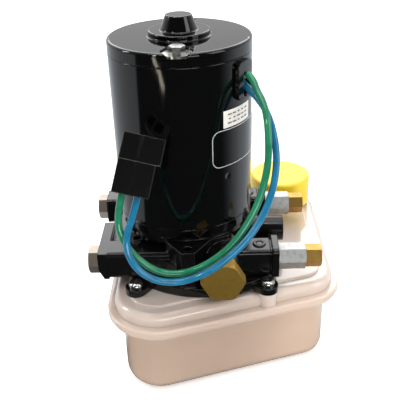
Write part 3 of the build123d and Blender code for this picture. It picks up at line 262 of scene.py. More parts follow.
def moulded_cap(colours):
    """Pigmented polypropylene, injection moulded: bright, slightly waxy, fine flow marks."""
    material, tree, coords = start_material("moulded_cap")
    flow = add_node(tree, "ShaderNodeTexNoise", {"Vector": coords, "Scale": 1 / (6 * MM), "Detail": 3.0})
    bump = add_node(tree, "ShaderNodeBump", {"Height": flow, "Strength": 0.25, "Distance": 0.05 * MM})
    return finished(
        material, Base_Color=two_tone(tree, flow, colours.cap, colours.cap_deep, 0.3, 0.8),
        Normal=bump, Roughness=0.32, IOR=1.49, Subsurface_Weight=0.15, Subsurface_Scale=3 * MM,
    )


def turned_metal(name, tint, deep, roughness, centre, axis):
    """A metal cut on a lathe: fine rings round its axis, and stains that vary the tint."""
    material, tree, coords = start_material(name)
    place = add_node(
        tree, "ShaderNodeMapping", {"Vector": coords, "Location": [-c for c in centre]}, vector_type="POINT",
    )
    # Real tool rings are a tenth of a millimetre apart, and are drawn 4.4 mm apart so that they show
    rings = add_node(
        tree, "ShaderNodeTexWave",
        {"Vector": place, "Scale": 1 / (14 * MM), "Distortion": 0.6, "Detail": 2.0},
        wave_type="RINGS", rings_direction=axis,
    )
    stain = add_node(tree, "ShaderNodeTexNoise", {"Vector": coords, "Scale": 1 / (4 * MM), "Detail": 4.0})
    wear = add_node(tree, "ShaderNodeMapRange", {
        "Value": stain, "To Min": roughness * 0.75, "To Max": roughness * 1.25,
    })
    return finished(
        material, Base_Color=two_tone(tree, stain, tint, deep, 0.3, 0.75), Roughness=wear, Metallic=1.0,
        Normal=relief(tree, rings.outputs["Fac"], strength=0.3, depth=0.012, rounding=0.25),
    )


def zinc_plate(colours):
    """Zinc electroplate on milled steel: pale, a little blue, brushed along and lightly stained."""
    material, tree, coords = start_material("zinc_plate")
    # Brush marks run along X; real ones are a twentieth of a millimetre wide, and are drawn at half of
    # one so that they show
    long_way = add_node(tree, "ShaderNodeMapping", {"Vector": coords, "Scale": (1.0, 12.0, 12.0)})
    brush = add_node(tree, "ShaderNodeTexNoise", {"Vector": long_way, "Scale": 1 / (6 * MM), "Detail": 4.0})
    stain = add_node(tree, "ShaderNodeTexNoise", {"Vector": coords, "Scale": 1 / (3 * MM), "Detail": 5.0})
    shine = add_node(tree, "ShaderNodeMapRange", {"Value": brush, "To Min": 0.48, "To Max": 0.68})
    return finished(
        material, Base_Color=two_tone(tree, stain, colours.zinc, colours.zinc_stain, 0.45, 0.8),
        Roughness=shine, Metallic=1.0, Normal=relief(tree, brush, strength=0.25, depth=0.02, rounding=0.25),
    )


def plain_metal(name, tint, roughness, grain, depth):
    """A metal as drawing, rolling, casting or sintering leaves it, grained at a size in mm."""
    material, tree, coords = start_material(name)
    noise = add_node(tree, "ShaderNodeTexNoise", {"Vector": coords, "Scale": 1 / (grain * MM), "Detail": 4.0})
    bump = add_node(tree, "ShaderNodeBump", {"Height": noise, "Strength": 0.4, "Distance": depth * MM})
    shine = add_node(tree, "ShaderNodeMapRange", {
        "Value": noise, "To Min": roughness * 0.8, "To Max": roughness * 1.2,
    })
    return finished(material, Base_Color=linear(tint), Roughness=shine, Metallic=1.0, Normal=bump)


def plain_solid(name, tint, shade, roughness, ior, grain, depth, rounding=0.2):
    """A moulded, pressed or extruded non-metal, mottled and grained at a size in mm."""
    material, tree, coords = start_material(name)
    noise = add_node(tree, "ShaderNodeTexNoise", {"Vector": coords, "Scale": 1 / (grain * MM), "Detail": 4.0})
    return finished(
        material, Base_Color=two_tone(tree, noise, tint, shade, 0.35, 0.75), Roughness=roughness, IOR=ior,
        Normal=relief(tree, noise, strength=0.4, depth=depth, rounding=rounding),
    )


def moulded_nylon(colours):
    """Glass-filled nylon, moulded: sleek black, with a painted highlight along the line where the plug's
    halves meet.
    """
    material, tree, coords = start_material("moulded_nylon")
    about = [Matrix.Rotation(math.radians(turn), 3, axis) for turn, axis in zip(PLUG_TURN, "XYZ")]
    place = add_node(
        tree, "ShaderNodeMapping",
        {"Vector": coords, "Location": PLUG_FOOT, "Rotation": (about[0] @ about[1] @ about[2]).to_euler()},
        vector_type="TEXTURE",
    )
    # A painted highlight: a thin pale line along the seam, broken up by noise
    up = add_node(tree, "ShaderNodeSeparateXYZ", {"Vector": place}).outputs["Z"]
    above = add_node(tree, "ShaderNodeMath", {0: up, 1: PLUG_SEAM}, operation="SUBTRACT")
    off = add_node(tree, "ShaderNodeMath", {0: above}, operation="ABSOLUTE")
    line = add_node(
        tree, "ShaderNodeMapRange",
        {"Value": off, "From Min": 0.1 * MM, "From Max": 0.3 * MM, "To Min": 1.0, "To Max": 0.0},
        interpolation_type="SMOOTHSTEP",
    )
    # The glass gives a grain of a tenth of a millimetre, drawn at 0.5 mm so that it shows
    grain = add_node(tree, "ShaderNodeTexNoise", {"Vector": coords, "Scale": 1 / (0.5 * MM), "Detail": 4.0})
    highlight_breakup = add_node(tree, "ShaderNodeTexNoise", {"Vector": coords, "Scale": 1 / (4 * MM), "Detail": 3.0})
    seam_highlight = add_node(tree, "ShaderNodeMath", {0: line, 1: highlight_breakup}, operation="MULTIPLY")
    return finished(
        material, Base_Color=two_tone(tree, seam_highlight, colours.plug, colours.plug_seam_highlight), Roughness=0.22,
        IOR=1.53, Normal=relief(tree, grain, strength=0.4, depth=0.02, rounding=0.6, samples=8),
    )


def wire_vinyl(name, tint, shade):
    """Soft vinyl extruded over copper strands: glossy, with slow ripples from the strands' lay."""
    material, tree, coords = start_material(name)
    ripple = add_node(tree, "ShaderNodeTexNoise", {"Vector": coords, "Scale": 1 / (7 * MM), "Detail": 2.0})
    bump = add_node(tree, "ShaderNodeBump", {"Height": ripple, "Strength": 0.3, "Distance": 0.06 * MM})
    return finished(
        material, Base_Color=two_tone(tree, ripple, tint, shade, 0.35, 0.8), Roughness=0.09, IOR=1.54,
        Normal=bump,
    )


def finishes(colours):
    """Every material slot of the record with its finish."""
    return {
        "black_paint": gloss_enamel(colours),
        "cast_paint": painted_casting(colours),
        "tank_plastic": moulded_tank(colours),
        "cap_plastic": moulded_cap(colours),
        # Free-machining brass, turned and milled: yellow, soft shine, tool rings on the faces
        "brass": turned_metal(
            "milled_brass", colours.brass, colours.brass_deep, roughness=0.5, centre=RELIEF_AXIS, axis="Y",
        ),
        "zinc_steel": zinc_plate(colours),
        # Bright steel, headed and polished in the barrel
        "steel": plain_metal("bright_steel", colours.steel, roughness=0.18, grain=2.0, depth=0.01),
        # Pressure die-cast aluminium, left bare: grey, fine skin
        "cast_aluminium": plain_metal(
            "bare_casting", colours.aluminium, roughness=0.45, grain=0.7, depth=0.04,
        ),
        # Hard-drawn spring wire: grey, with a dull drawn shine
        "spring_steel": plain_metal(
            "spring_wire", colours.spring_steel, roughness=0.25, grain=1.5, depth=0.01,
        ),
        # Sintered bronze: porous and matt
        "bronze": plain_metal("sintered_bronze", colours.bronze, roughness=0.5, grain=0.4, depth=0.03),
        # Enamelled copper wire: a clear coat over warm copper
        "copper": plain_metal("winding_copper", colours.copper, roughness=0.28, grain=0.8, depth=0.02),
        # Nitrile rubber, moulded: matt black with a fine bloom
        "rubber": plain_solid(
            "moulded_rubber", "#141414", "#1E1E1E", roughness=0.7, ior=1.52, grain=0.8, depth=0.03,
        ),
        # Sintered ferrite, ground: dark grey, dull
        "ferrite": plain_solid(
            "ground_ferrite", "#2C2C2E", "#3A3A3C", roughness=0.55, ior=1.6, grain=1.2, depth=0.02,
        ),
        # Pressed carbon: soft black with a graphite sheen
        "carbon": plain_solid(
            "pressed_carbon", "#1B1B1C", "#29292A", roughness=0.4, ior=1.7, grain=0.5, depth=0.02,
        ),
        # Paper and phenolic board: brown, waxy
        "brush_board": plain_solid(
            "phenolic_board", "#6B4526", "#7E5632", roughness=0.45, ior=1.55, grain=1.5, depth=0.02,
        ),
        "plug_plastic": moulded_nylon(colours),
        "green_wire": wire_vinyl("green_vinyl", colours.green, colours.green_deep),
        "blue_wire": wire_vinyl("blue_vinyl", colours.blue, colours.blue_deep),
    }


# Geometry


def plain_copy(source, name):
    """The evaluated object's mesh as a new plain object at the origin."""
    depsgraph = bpy.context.evaluated_depsgraph_get()
    mesh = bpy.data.meshes.new_from_object(source.evaluated_get(depsgraph))
    piece = bpy.data.objects.new(name, mesh)
    bpy.context.scene.collection.objects.link(piece)
    mesh.transform(source.matrix_world)
    return piece


def grow(tree, name, inputs, body):
    """Runs a geometry tree with its inputs on an empty mesh and makes a plain piece of the result."""
    mesh = bpy.data.meshes.new(name + "_seed")
    seed = bpy.data.objects.new(name + "_seed", mesh)
    bpy.context.scene.collection.objects.link(seed)
    modifier = seed.modifiers.new("grow", "NODES")
    modifier.node_group = tree
    sockets = {s.name: s.identifier for s in tree.interface.items_tree if s.item_type == "SOCKET"}
    for label, value in inputs.items():
        modifier[sockets[label]] = value
    bpy.context.view_layer.update()
    piece = plain_copy(seed, name)
    seed.modifiers.remove(modifier)
    bpy.data.objects.remove(seed)
    if not piece.data.polygons:
        raise RuntimeError(name + " came out empty")
    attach(piece, body)


def start_geometry(name, inputs):
    """A new geometry tree with named inputs, its group input and its group output."""
    tree = bpy.data.node_groups.new(name, "GeometryNodeTree")
    tree.interface.new_socket("Geometry", in_out="OUTPUT", socket_type="NodeSocketGeometry")
    for label, kind, value in inputs:
        socket = tree.interface.new_socket(label, in_out="INPUT", socket_type=kind)
        if value is not None:
            socket.default_value = value
    return tree, add_node(tree, "NodeGroupInput").outputs, add_node(tree, "NodeGroupOutput")


def wrap_on_can(tree, geometry, given):
    """Bends flat geometry round the can: its x runs along the wall, its y up, its z outwards."""
    spot = add_node(tree, "ShaderNodeSeparateXYZ", {0: add_node(tree, "GeometryNodeInputPosition")}).outputs
    reach = add_node(tree, "ShaderNodeMath", {0: given["Radius"], 1: spot["Z"]}, operation="ADD")
    along = add_node(tree, "ShaderNodeMath", {0: spot["X"], 1: given["Radius"]}, operation="DIVIDE")
    turn = add_node(tree, "ShaderNodeMath", {0: along, 1: given["Angle"]}, operation="ADD")
    sine = add_node(tree, "ShaderNodeMath", {0: turn}, operation="SINE")
    cosine = add_node(tree, "ShaderNodeMath", {0: turn}, operation="COSINE")
    front = add_node(tree, "ShaderNodeMath", {0: reach, 1: -1.0}, operation="MULTIPLY")
    place = add_node(tree, "ShaderNodeCombineXYZ", {
        "X": add_node(tree, "ShaderNodeMath", {0: sine, 1: reach}, operation="MULTIPLY"),
        "Y": add_node(tree, "ShaderNodeMath", {0: cosine, 1: front}, operation="MULTIPLY"),
        "Z": add_node(tree, "ShaderNodeMath", {0: spot["Y"], 1: given["Height"]}, operation="ADD"),
    })
    return add_node(tree, "GeometryNodeSetPosition", {"Geometry": geometry, "Position": place})


def label_tree():
    """A sheet of paper bent round the can, with rows of printed bars standing just proud of it."""
    tree, given, result = start_geometry("label_tree", (
        ("Width", "NodeSocketFloat", 0.02), ("Rise", "NodeSocketFloat", 0.01),
        ("Thickness", "NodeSocketFloat", 0.0001), ("Radius", "NodeSocketFloat", 0.04),
        ("Angle", "NodeSocketFloat", 0.0), ("Height", "NodeSocketFloat", 0.0),
        ("Words", "NodeSocketInt", 5), ("Lines", "NodeSocketInt", 3),
        ("Word Size", "NodeSocketVector", (3.0 * MM, 0.9 * MM, 0.06 * MM)),
        ("Print Width", "NodeSocketFloat", 0.62), ("Print Rise", "NodeSocketFloat", 0.5),
        ("Paper", "NodeSocketMaterial", None), ("Ink", "NodeSocketMaterial", None),
        ("Seed", "NodeSocketInt", 4),
    ))
    size = add_node(tree, "ShaderNodeCombineXYZ", {
        "X": given["Width"], "Y": given["Rise"], "Z": given["Thickness"],
    })
    # The sheet and the bars have enough points along them to bend
    sheet = add_node(tree, "GeometryNodeMeshCube", {"Size": size, "Vertices X": 24, "Vertices Y": 6})
    paper = add_node(tree, "GeometryNodeSetMaterial", {"Geometry": sheet, "Material": given["Paper"]})
    # The print fills these shares of the sheet
    across, down = (
        add_node(tree, "ShaderNodeMath", {0: given[side], 1: given["Print " + side]}, operation="MULTIPLY")
        for side in ("Width", "Rise")
    )
    rows = add_node(tree, "GeometryNodeMeshGrid", {
        "Size X": across, "Size Y": down, "Vertices X": given["Words"], "Vertices Y": given["Lines"],
    })
    bar = add_node(tree, "GeometryNodeMeshCube", {"Size": given["Word Size"], "Vertices X": 4})
    # Bars differ in length, and a little in height, as words do
    stretch = add_node(
        tree, "FunctionNodeRandomValue",
        {"Min": (0.45, 0.8, 1.0), "Max": (1.1, 1.0, 1.0), "Seed": given["Seed"]}, data_type="FLOAT_VECTOR",
    )
    bars = add_node(tree, "GeometryNodeInstanceOnPoints", {
        "Points": rows, "Instance": bar, "Scale": stretch,
    })
    face = add_node(tree, "ShaderNodeMath", {0: given["Thickness"], 1: 2.0}, operation="DIVIDE")
    lifted = add_node(tree, "GeometryNodeTranslateInstances", {
        "Instances": bars, "Translation": add_node(tree, "ShaderNodeCombineXYZ", {"Z": face}),
    })
    solid = add_node(tree, "GeometryNodeRealizeInstances", {"Geometry": lifted})
    ink = add_node(tree, "GeometryNodeSetMaterial", {"Geometry": solid, "Material": given["Ink"]})
    both = add_node(tree, "GeometryNodeJoinGeometry")
    for part in (ink, paper):
        feed(tree, both, {"Geometry": part})
    feed(tree, result, {"Geometry": wrap_on_can(tree, both, given)})
    return tree


def badge_tree():
    """A rounded frame printed on the can, one thin line all the way round."""
    tree, given, result = start_geometry("badge_tree", (
        ("Width", "NodeSocketFloat", 0.04), ("Rise", "NodeSocketFloat", 0.02),
        ("Corner", "NodeSocketFloat", 0.004), ("Line", "NodeSocketFloat", 0.0005),
        ("Radius", "NodeSocketFloat", 0.04), ("Angle", "NodeSocketFloat", 0.0),
        ("Height", "NodeSocketFloat", 0.0), ("Paint", "NodeSocketMaterial", None),
    ))
    outline = add_node(tree, "GeometryNodeCurvePrimitiveQuadrilateral", {
        "Width": given["Width"], "Height": given["Rise"],
    })
    rounded = add_node(
        tree, "GeometryNodeFilletCurve", {"Curve": outline, "Radius": given["Corner"], "Count": 8},
        mode="POLY",
    )
    # Enough points to bend it round the can
    fine = add_node(tree, "GeometryNodeResampleCurve", {"Curve": rounded, "Count": 160}, mode="COUNT")
    half = add_node(tree, "ShaderNodeMath", {0: given["Line"], 1: 2.0}, operation="DIVIDE")
    section = add_node(tree, "GeometryNodeCurvePrimitiveCircle", {"Radius": half, "Resolution": 8})
    line = add_node(tree, "GeometryNodeCurveToMesh", {
        "Curve": wrap_on_can(tree, fine, given), "Profile Curve": section,
    })
    painted = add_node(tree, "GeometryNodeSetMaterial", {"Geometry": line, "Material": given["Paint"]})
    feed(tree, result, {"Geometry": painted})
    return tree


class TrimPumpSizes(bpy.types.PropertyGroup):
    """Sizes of what is added to the solids, in metres."""

    wire: bpy.props.FloatProperty(
        name="Wire diameter", description="Outside of a wire's insulation", default=0.0038,
        min=0.001, max=0.01, unit="LENGTH", precision=4,
    )
    can_radius: bpy.props.FloatProperty(
        name="Can radius", description="Outside radius of the motor's can", default=0.040,
        min=0.02, max=0.1, unit="LENGTH", precision=4,
    )
    badge_angle: bpy.props.FloatProperty(
        name="Badge angle", description="Turn of the badge's middle from the front to the right",
        default=math.radians(56.0), subtype="ANGLE",
    )
    badge_height: bpy.props.FloatProperty(
        name="Badge height", description="Height of the badge's middle above the tank's base",
        default=0.1452, unit="LENGTH", precision=4,
    )
    badge_width: bpy.props.FloatProperty(
        name="Badge width", description="Badge's outline along the can's wall", default=0.043,
        unit="LENGTH", precision=4,
    )
    badge_rise: bpy.props.FloatProperty(
        name="Badge rise", description="Badge's outline from bottom to top", default=0.0212,
        unit="LENGTH", precision=4,
    )
    badge_corner: bpy.props.FloatProperty(
        name="Badge corner", description="Radius of the badge's corners", default=0.0045,
        unit="LENGTH", precision=5,
    )
    badge_line: bpy.props.FloatProperty(
        name="Badge line", description="Thickness of the badge's printed line", default=0.00045,
        unit="LENGTH", precision=5,
    )
    label_angle: bpy.props.FloatProperty(
        name="Label angle", description="Turn of the paper label's middle from the front to the right",
        default=math.radians(51.7), subtype="ANGLE",
    )
    label_height: bpy.props.FloatProperty(
        name="Label height", description="Height of the paper label's middle above the tank's base",
        default=0.1617, unit="LENGTH", precision=4,
    )
    label_width: bpy.props.FloatProperty(
        name="Label width", description="Paper label along the can's wall", default=0.0231,
        unit="LENGTH", precision=4,
    )
    label_rise: bpy.props.FloatProperty(
        name="Label rise", description="Paper label from bottom to top", default=0.0097,
        unit="LENGTH", precision=4,
    )
    label_thickness: bpy.props.FloatProperty(
        name="Label thickness", description="Thickness of the label's paper", default=0.0001,
        unit="LENGTH", precision=5,
    )


class TrimPumpColours(bpy.types.PropertyGroup):
    """Colours of the finishes, as sRGB hex values."""

    enamel: bpy.props.StringProperty(name="Enamel", description="Motor's gloss enamel", default="#040404")
    casting_paint: bpy.props.StringProperty(
        name="Casting paint", description="Paint on the castings", default="#090909",
    )
    tank_rim: bpy.props.StringProperty(name="Tank rim", description="Tank near its rim", default="#DCCDC3")
    tank_wall: bpy.props.StringProperty(
        name="Tank wall", description="Tank low on its wall", default="#D4BAA6",
    )
    cap: bpy.props.StringProperty(name="Cap", description="Filler cap", default="#F5D42C")
    cap_deep: bpy.props.StringProperty(
        name="Cap flow marks", description="Darker flow marks of the filler cap", default="#EEC920",
    )
    brass: bpy.props.StringProperty(name="Brass", description="Turned brass", default="#D9B25A")
    brass_deep: bpy.props.StringProperty(name="Brass stains", description="Stained brass", default="#C29B44")
    brass_nut: bpy.props.StringProperty(name="Bright brass", description="Line nuts", default="#BE9854")
    brass_nut_deep: bpy.props.StringProperty(
        name="Bright brass stains", description="Stains on the line nuts", default="#AD8742",
    )
    dull_plate: bpy.props.StringProperty(name="Dull plating", description="End plugs", default="#A0968A")
    zinc: bpy.props.StringProperty(name="Zinc", description="Zinc plate", default="#C9CBCA")
    zinc_stain: bpy.props.StringProperty(name="Zinc stains", description="Stained zinc", default="#AFADA6")
    steel: bpy.props.StringProperty(name="Steel", description="Bright steel", default="#D0CFCB")
    aluminium: bpy.props.StringProperty(name="Aluminium", description="Bare casting", default="#B5B6B8")
    spring_steel: bpy.props.StringProperty(name="Spring", description="Spring wire", default="#8E8F90")
    bronze: bpy.props.StringProperty(name="Bronze", description="Sintered bronze", default="#A9773F")
    copper: bpy.props.StringProperty(name="Copper", description="Enamelled copper", default="#B5622E")
    plug: bpy.props.StringProperty(name="Plug", description="Plug's housing", default="#050505")
    # A painted highlight: the pale line drawn along the plug's seam
    plug_seam_highlight: bpy.props.StringProperty(
        name="Plug seam", description="Rubbed line between the plug's halves", default="#5A564D",
    )
    green: bpy.props.StringProperty(name="Green wire", description="Green insulation", default="#237C59")
    green_deep: bpy.props.StringProperty(
        name="Green shade", description="Darker green between ripples", default="#196545",
    )
    blue: bpy.props.StringProperty(name="Blue wire", description="Blue insulation", default="#1D7096")
    blue_deep: bpy.props.StringProperty(
        name="Blue shade", description="Darker blue between ripples", default="#165E7C",
    )
    paper: bpy.props.StringProperty(name="Label paper", description="Paper label", default="#E8E5DE")
    ink: bpy.props.StringProperty(name="Label ink", description="Bars on the paper label", default="#55534F")
    line: bpy.props.StringProperty(name="Badge line", description="Badge's outline", default="#C9C9C4")


class TRIMPUMP_OT_finish_solids(bpy.types.Operator):
    """Gives every carried-over solid the finish of its material slot"""

    bl_idname = "trim_pump.finish_solids"
    bl_label = "Finish the solids"

    def execute(self, context):
        colours = context.scene.trim_pump_colours
        by_slot = finishes(colours)
        slots = {s["node"]: s["material_slot"] for s in frame["record"]["subparts"]}
        special = {
            # The wires' outlet was sprayed thickly with the can, so its gloss is uneven
            "wire_grommet": plain_solid(
                "sprayed_outlet", colours.enamel, "#060606", roughness=0.07, ior=1.6, grain=5.0, depth=1.2,
                rounding=0.6,
            ),
            # Bolts and screws are polished under the zinc
            "through_bolts": by_slot["steel"],
            "tank_screws": by_slot["steel"],
            # Steel plugs whose plating has dulled and browned
            "end_plugs": plain_metal(
                "dulled_plating", colours.dull_plate, roughness=0.38, grain=3.0, depth=0.01,
            ),
            # Paler brass than the relief cap's, turned from drawn bar: a closer shine
            "line_nuts": turned_metal(
                "drawn_brass", colours.brass_nut, colours.brass_nut_deep, roughness=0.38, centre=NUT_AXIS,
                axis="X",
            ),
        }
        for name, solid in frame["nodes"].items():
            finish = special.get(name) or by_slot.get(slots[name])
            if finish is None:
                raise RuntimeError("no finish for slot " + slots[name])
            solid.data.materials.clear()
            solid.data.materials.append(finish)
        return {"FINISHED"}


class TRIMPUMP_OT_make_wires(bpy.types.Operator):
    """Makes the two wires from the outlet to the plug"""

    bl_idname = "trim_pump.make_wires"
    bl_label = "Wires"

    def execute(self, context):
        sizes = context.scene.trim_pump_sizes
        for name, route, length, node, slot, finish in (
            ("blue_lead", BLUE_ROUTE, BLUE_LENGTH, "wire_blue", "blue_wire", "blue_vinyl"),
            ("green_lead", GREEN_ROUTE, GREEN_LENGTH, "wire_green", "green_wire", "green_vinyl"),
        ):
            line = bpy.data.curves.new(name, "CURVE")
            line.dimensions = "3D"
            line.resolution_u = 8
            line.bevel_depth = sizes.wire / 2
            line.bevel_resolution = 6
            line.use_fill_caps = True
            spline = line.splines.new("NURBS")
            spline.points.add(len(route) - 1)
            for point, spot in zip(spline.points, route):
                point.co = (*spot, 1.0)
            spline.order_u = 3
            spline.use_endpoint_u = True
            line.materials.append(bpy.data.materials[finish])
            piece = bpy.data.objects.new(name, line)
            context.scene.collection.objects.link(piece)
            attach(piece, "pump")
            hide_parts(node)
        return {"FINISHED"}


class TRIMPUMP_OT_make_labels(bpy.types.Operator):
    """Makes the blank paper label and the printed frame below it on the can"""

    bl_idname = "trim_pump.make_labels"
    bl_label = "Labels"

    def execute(self, context):
        sizes = context.scene.trim_pump_sizes
        colours = context.scene.trim_pump_colours
        # Coated paper: white, slightly warm, soft sheen
        paper = plain_solid(
            "label_paper", colours.paper, "#DEDAD0", roughness=0.35, ior=1.5, grain=3.0, depth=0.005,
        )
        # Printer's ink on that paper: grey, matt
        ink = plain_solid(
            "label_ink", colours.ink, "#6A6864", roughness=0.6, ior=1.5, grain=0.3, depth=0.002,
        )
        # Screen-printed enamel: pale grey, glossy
        paint = plain_solid(
            "badge_paint", colours.line, "#B9B9B4", roughness=0.3, ior=1.5, grain=1.0, depth=0.004,
        )
        grow(label_tree(), "paper_label", {
            "Width": sizes.label_width, "Rise": sizes.label_rise, "Thickness": sizes.label_thickness,
            "Radius": sizes.can_radius, "Angle": sizes.label_angle, "Height": sizes.label_height,
            "Paper": paper, "Ink": ink,
        }, "pump")
        grow(badge_tree(), "badge_frame", {
            "Width": sizes.badge_width, "Rise": sizes.badge_rise, "Corner": sizes.badge_corner,
            "Line": sizes.badge_line, "Radius": sizes.can_radius, "Angle": sizes.badge_angle,
            "Height": sizes.badge_height, "Paint": paint,
        }, "pump")
        return {"FINISHED"}


class TRIMPUMP_OT_stage(bpy.types.Operator):
    """Makes the floor, the soft lights, the surroundings and the camera"""

    bl_idname = "trim_pump.stage"
    bl_label = "Studio"

    def execute(self, context):
        scene = context.scene
        floor = bpy.data.meshes.new("floor")
        corners = [(x * FLOOR_REACH, y * FLOOR_REACH, 0.0) for x, y in ((-1, -1), (1, -1), (1, 1), (-1, 1))]
        floor.from_pydata(corners, [], [(0, 1, 2, 3)])
        floor.materials.append(floor_paper())
        ground = bpy.data.objects.new("floor", floor)
        scene.collection.objects.link(ground)
        for name, spot, aim, width, height, watts in (
            ("top_box", (0.1, 0.2, 1.3), (0, 0, 0.1), 0.9, 0.9, 5.0),
            ("tube_lamp", (-0.1, -0.35, 1.25), (0, 0, 0.1), 1.1, 0.03, 4.0),
            ("left_box", (-1.1, 0.1, 0.75), (0, 0, 0.08), 0.14, 0.4, 3.0),
            ("right_box", (1.0, -0.5, 0.7), (0, 0, 0.1), 0.5, 0.8, 4.0),
            ("front_box", (0.3, -1.25, 0.18), (0, 0, 0.1), 0.8, 0.25, 4.5),
            ("key_lamp", (-0.7, -0.8, 1.1), (0, 0, 0.1), 0.1, 0.1, 2.5),
            ("back_box", (0.0, 1.25, 0.95), (0, 0, 0.15), 1.6, 0.7, 10.0),
        ):
            lamp = bpy.data.lights.new(name, "AREA")
            lamp.shape = "RECTANGLE"
            lamp.size = width
            lamp.size_y = height
            lamp.energy = watts
            holder = bpy.data.objects.new(name, lamp)
            scene.collection.objects.link(holder)
            holder.location = spot
            holder.rotation_euler = (Vector(aim) - Vector(spot)).to_track_quat("-Z", "Y").to_euler()
        world = bpy.data.worlds.new("studio")
        world.use_nodes = True
        scene.world = world
        studio_walls(world.node_tree)
        camera = bpy.data.cameras.new("camera")
        camera.lens = CAMERA_LENS
        camera.sensor_width = FILM_WIDTH
        camera.clip_start = 0.01
        camera.clip_end = 50.0
        stand = bpy.data.objects.new("camera", camera)
        scene.collection.objects.link(stand)
        back = [-c for c in CAMERA_AHEAD]
        rows = zip(CAMERA_RIGHT, CAMERA_UP, back, CAMERA_SPOT)
        stand.matrix_world = Matrix([*[list(row) for row in rows], [0, 0, 0, 1]])
        scene.camera = stand
        scene.view_settings.view_transform = "Standard"
        return {"FINISHED"}


def floor_paper():
    """White seamless paper, matt: it takes shadows and shows white to the camera; to gloss it glows with
    painted reflections.
    """
    material, tree, coords = start_material("floor_paper")
    fibre = add_node(tree, "ShaderNodeTexNoise", {"Vector": coords, "Scale": 1 / (2 * MM), "Detail": 3.0})
    finished(material, Base_Color=two_tone(tree, fibre, "#FFFFFF", "#FBFBFA"), Roughness=0.9)
    rays = add_node(tree, "ShaderNodeLightPath").outputs
    place = add_node(tree, "ShaderNodeSeparateXYZ", {"Vector": coords}).outputs
    # The way round the object is measured from the front, positive to the right
    far = add_node(tree, "ShaderNodeVectorMath", {0: coords}, operation="LENGTH").outputs["Value"]
    near = add_node(tree, "ShaderNodeMath", {0: place["Y"], 1: -1.0}, operation="MULTIPLY")
    way = add_node(tree, "ShaderNodeMath", {0: place["X"], 1: near}, operation="ARCTAN2")
    level = {}
    for name, value, start, end, low, high in (
        # The paper curves up to the lit wall far off, so it grows whiter away from the lamps
        ("glow", far, 0.5, 1.6, 0.35, 1.0),
        # Painted reflections for the can to mirror: to gloss alone the floor glows dark on the camera's side,
        # pale from a sharp edge at the left and a soft one at the right, with a warm streak at the front left
        ("left_edge", way, math.radians(-66.0), math.radians(-71.0), DARK, 1.0),
        ("left_level", way, math.radians(-95.0), math.radians(-150.0), 0.8, 1.0),
        ("right_edge", way, math.radians(60.0), math.radians(104.0), DARK, 1.0),
        ("streak_way", far, 0.57, 0.76, math.radians(-25.5), math.radians(-38.0)),
        ("streak_start", far, 0.565, 0.58, 0.0, 1.0),
        ("streak_end", far, 0.78, 0.84, 1.0, 0.0),
    ):
        level[name] = add_node(
            tree, "ShaderNodeMapRange",
            {"Value": value, "From Min": start, "From Max": end, "To Min": low, "To Max": high},
            interpolation_type="SMOOTHSTEP",
        )
    torn = add_node(tree, "ShaderNodeTexNoise", {"Vector": coords, "Scale": 1 / STREAK_TEAR, "Detail": 3.0})
    tear = add_node(tree, "ShaderNodeMath", {0: torn, 1: STREAK_TORN}, operation="MULTIPLY")
    aside = add_node(tree, "ShaderNodeMath", {0: way, 1: level["streak_way"]}, operation="SUBTRACT")
    off = add_node(tree, "ShaderNodeMath", {0: aside}, operation="ABSOLUTE")
    ragged = add_node(tree, "ShaderNodeMath", {0: off, 1: tear}, operation="ADD")
    streak = add_node(
        tree, "ShaderNodeMapRange",
        {
            "Value": ragged, "From Min": STREAK_CORE, "From Max": STREAK_SIDE,
            "To Min": STREAK_LEVEL, "To Max": 0.0,
        },
        interpolation_type="SMOOTHSTEP",
    )
    for end in ("streak_start", "streak_end"):
        streak = add_node(tree, "ShaderNodeMath", {0: streak, 1: level[end]}, operation="MULTIPLY")
    left = add_node(
        tree, "ShaderNodeMath", {0: level["left_edge"], 1: level["left_level"]}, operation="MULTIPLY",
    )
    sides = add_node(tree, "ShaderNodeMath", {0: left, 1: level["right_edge"]}, operation="MAXIMUM")
    pale = add_node(tree, "ShaderNodeEmission", {"Color": linear("#F2F9FF"), "Strength": sides})
    warm = add_node(tree, "ShaderNodeEmission", {"Color": linear("#FFF4DA"), "Strength": streak})
    painted_reflections = add_node(tree, "ShaderNodeAddShader", {0: pale, 1: warm})
    straight = add_node(
        tree, "ShaderNodeMath", {0: rays["Is Camera Ray"], 1: rays["Is Transmission Ray"]},
        operation="MAXIMUM",
    )
    seen = add_node(tree, "ShaderNodeMath", {0: straight, 1: level["glow"]}, operation="MULTIPLY")
    glow = add_node(tree, "ShaderNodeEmission", {"Color": linear("#FFFFFF"), "Strength": seen})
    lit = add_node(tree, "ShaderNodeAddShader", {0: tree.nodes["Principled BSDF"], 1: glow})
    mixed = add_node(tree, "ShaderNodeMixShader", {0: rays["Is Glossy Ray"], 1: lit, 2: painted_reflections})
    feed(tree, tree.nodes["Material Output"], {"Surface": mixed})
    return material


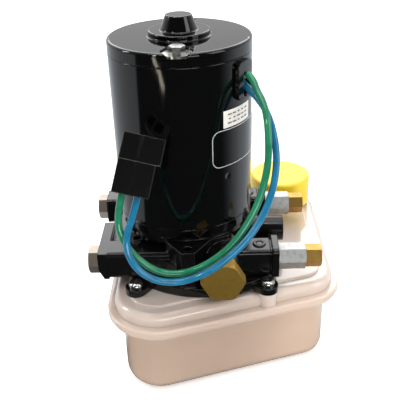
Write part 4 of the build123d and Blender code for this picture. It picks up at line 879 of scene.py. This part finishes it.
def studio_walls(tree):
    """White surroundings for the camera; a dim room with pale sides for light and gloss."""
    rays = add_node(tree, "ShaderNodeLightPath").outputs
    where = add_node(tree, "ShaderNodeTexCoord").outputs["Generated"]
    parts = add_node(tree, "ShaderNodeSeparateXYZ", {"Vector": where}).outputs
    # Dark on the camera's side, pale behind the object
    gloss = add_node(tree, "ShaderNodeMapRange", {
        "Value": parts["Y"], "From Min": -0.35, "From Max": 0.55, "To Min": DARK, "To Max": 0.9,
    })
    soft = add_node(tree, "ShaderNodeMath", {0: rays["Is Diffuse Ray"], 1: 0.45}, operation="MULTIPLY")
    level = add_node(tree, "ShaderNodeMath", {0: gloss, 1: soft}, operation="MAXIMUM")
    strength = add_node(tree, "ShaderNodeMath", {0: rays["Is Camera Ray"], 1: level}, operation="MAXIMUM")
    base = tree.nodes["Background"]
    feed(tree, base, {"Color": linear("#FFFFFF"), "Strength": strength})
    feed(tree, tree.nodes["World Output"], {"Surface": base})


class TRIMPUMP_PT_panel(bpy.types.Panel):
    """Lists the pump's operators, sizes and colours"""

    bl_idname = "TRIMPUMP_PT_panel"
    bl_label = "Power trim pump"
    bl_space_type = "VIEW_3D"
    bl_region_type = "UI"
    bl_category = "Trim pump"

    def draw(self, context):
        layout = self.layout
        for operator in OPERATORS:
            layout.operator(operator.bl_idname)
        for group in (context.scene.trim_pump_sizes, context.scene.trim_pump_colours):
            box = layout.box()
            for key in group.__annotations__:
                box.prop(group, key)


OPERATORS = (
    TRIMPUMP_OT_finish_solids, TRIMPUMP_OT_make_wires, TRIMPUMP_OT_make_labels, TRIMPUMP_OT_stage,
)
CLASSES = (TrimPumpSizes, TrimPumpColours, *OPERATORS, TRIMPUMP_PT_panel)


def register():
    for kind in CLASSES:
        bpy.utils.register_class(kind)
    bpy.types.Scene.trim_pump_sizes = bpy.props.PointerProperty(type=TrimPumpSizes)
    bpy.types.Scene.trim_pump_colours = bpy.props.PointerProperty(type=TrimPumpColours)


def unregister():
    del bpy.types.Scene.trim_pump_colours
    del bpy.types.Scene.trim_pump_sizes
    for kind in reversed(CLASSES):
        bpy.utils.unregister_class(kind)


def main():
    """Makes the whole scene."""
    register()
    bpy.ops.trim_pump.finish_solids()
    bpy.ops.trim_pump.make_wires()
    bpy.ops.trim_pump.make_labels()
    bpy.ops.trim_pump.stage()


if __name__ == "__main__":
    main()
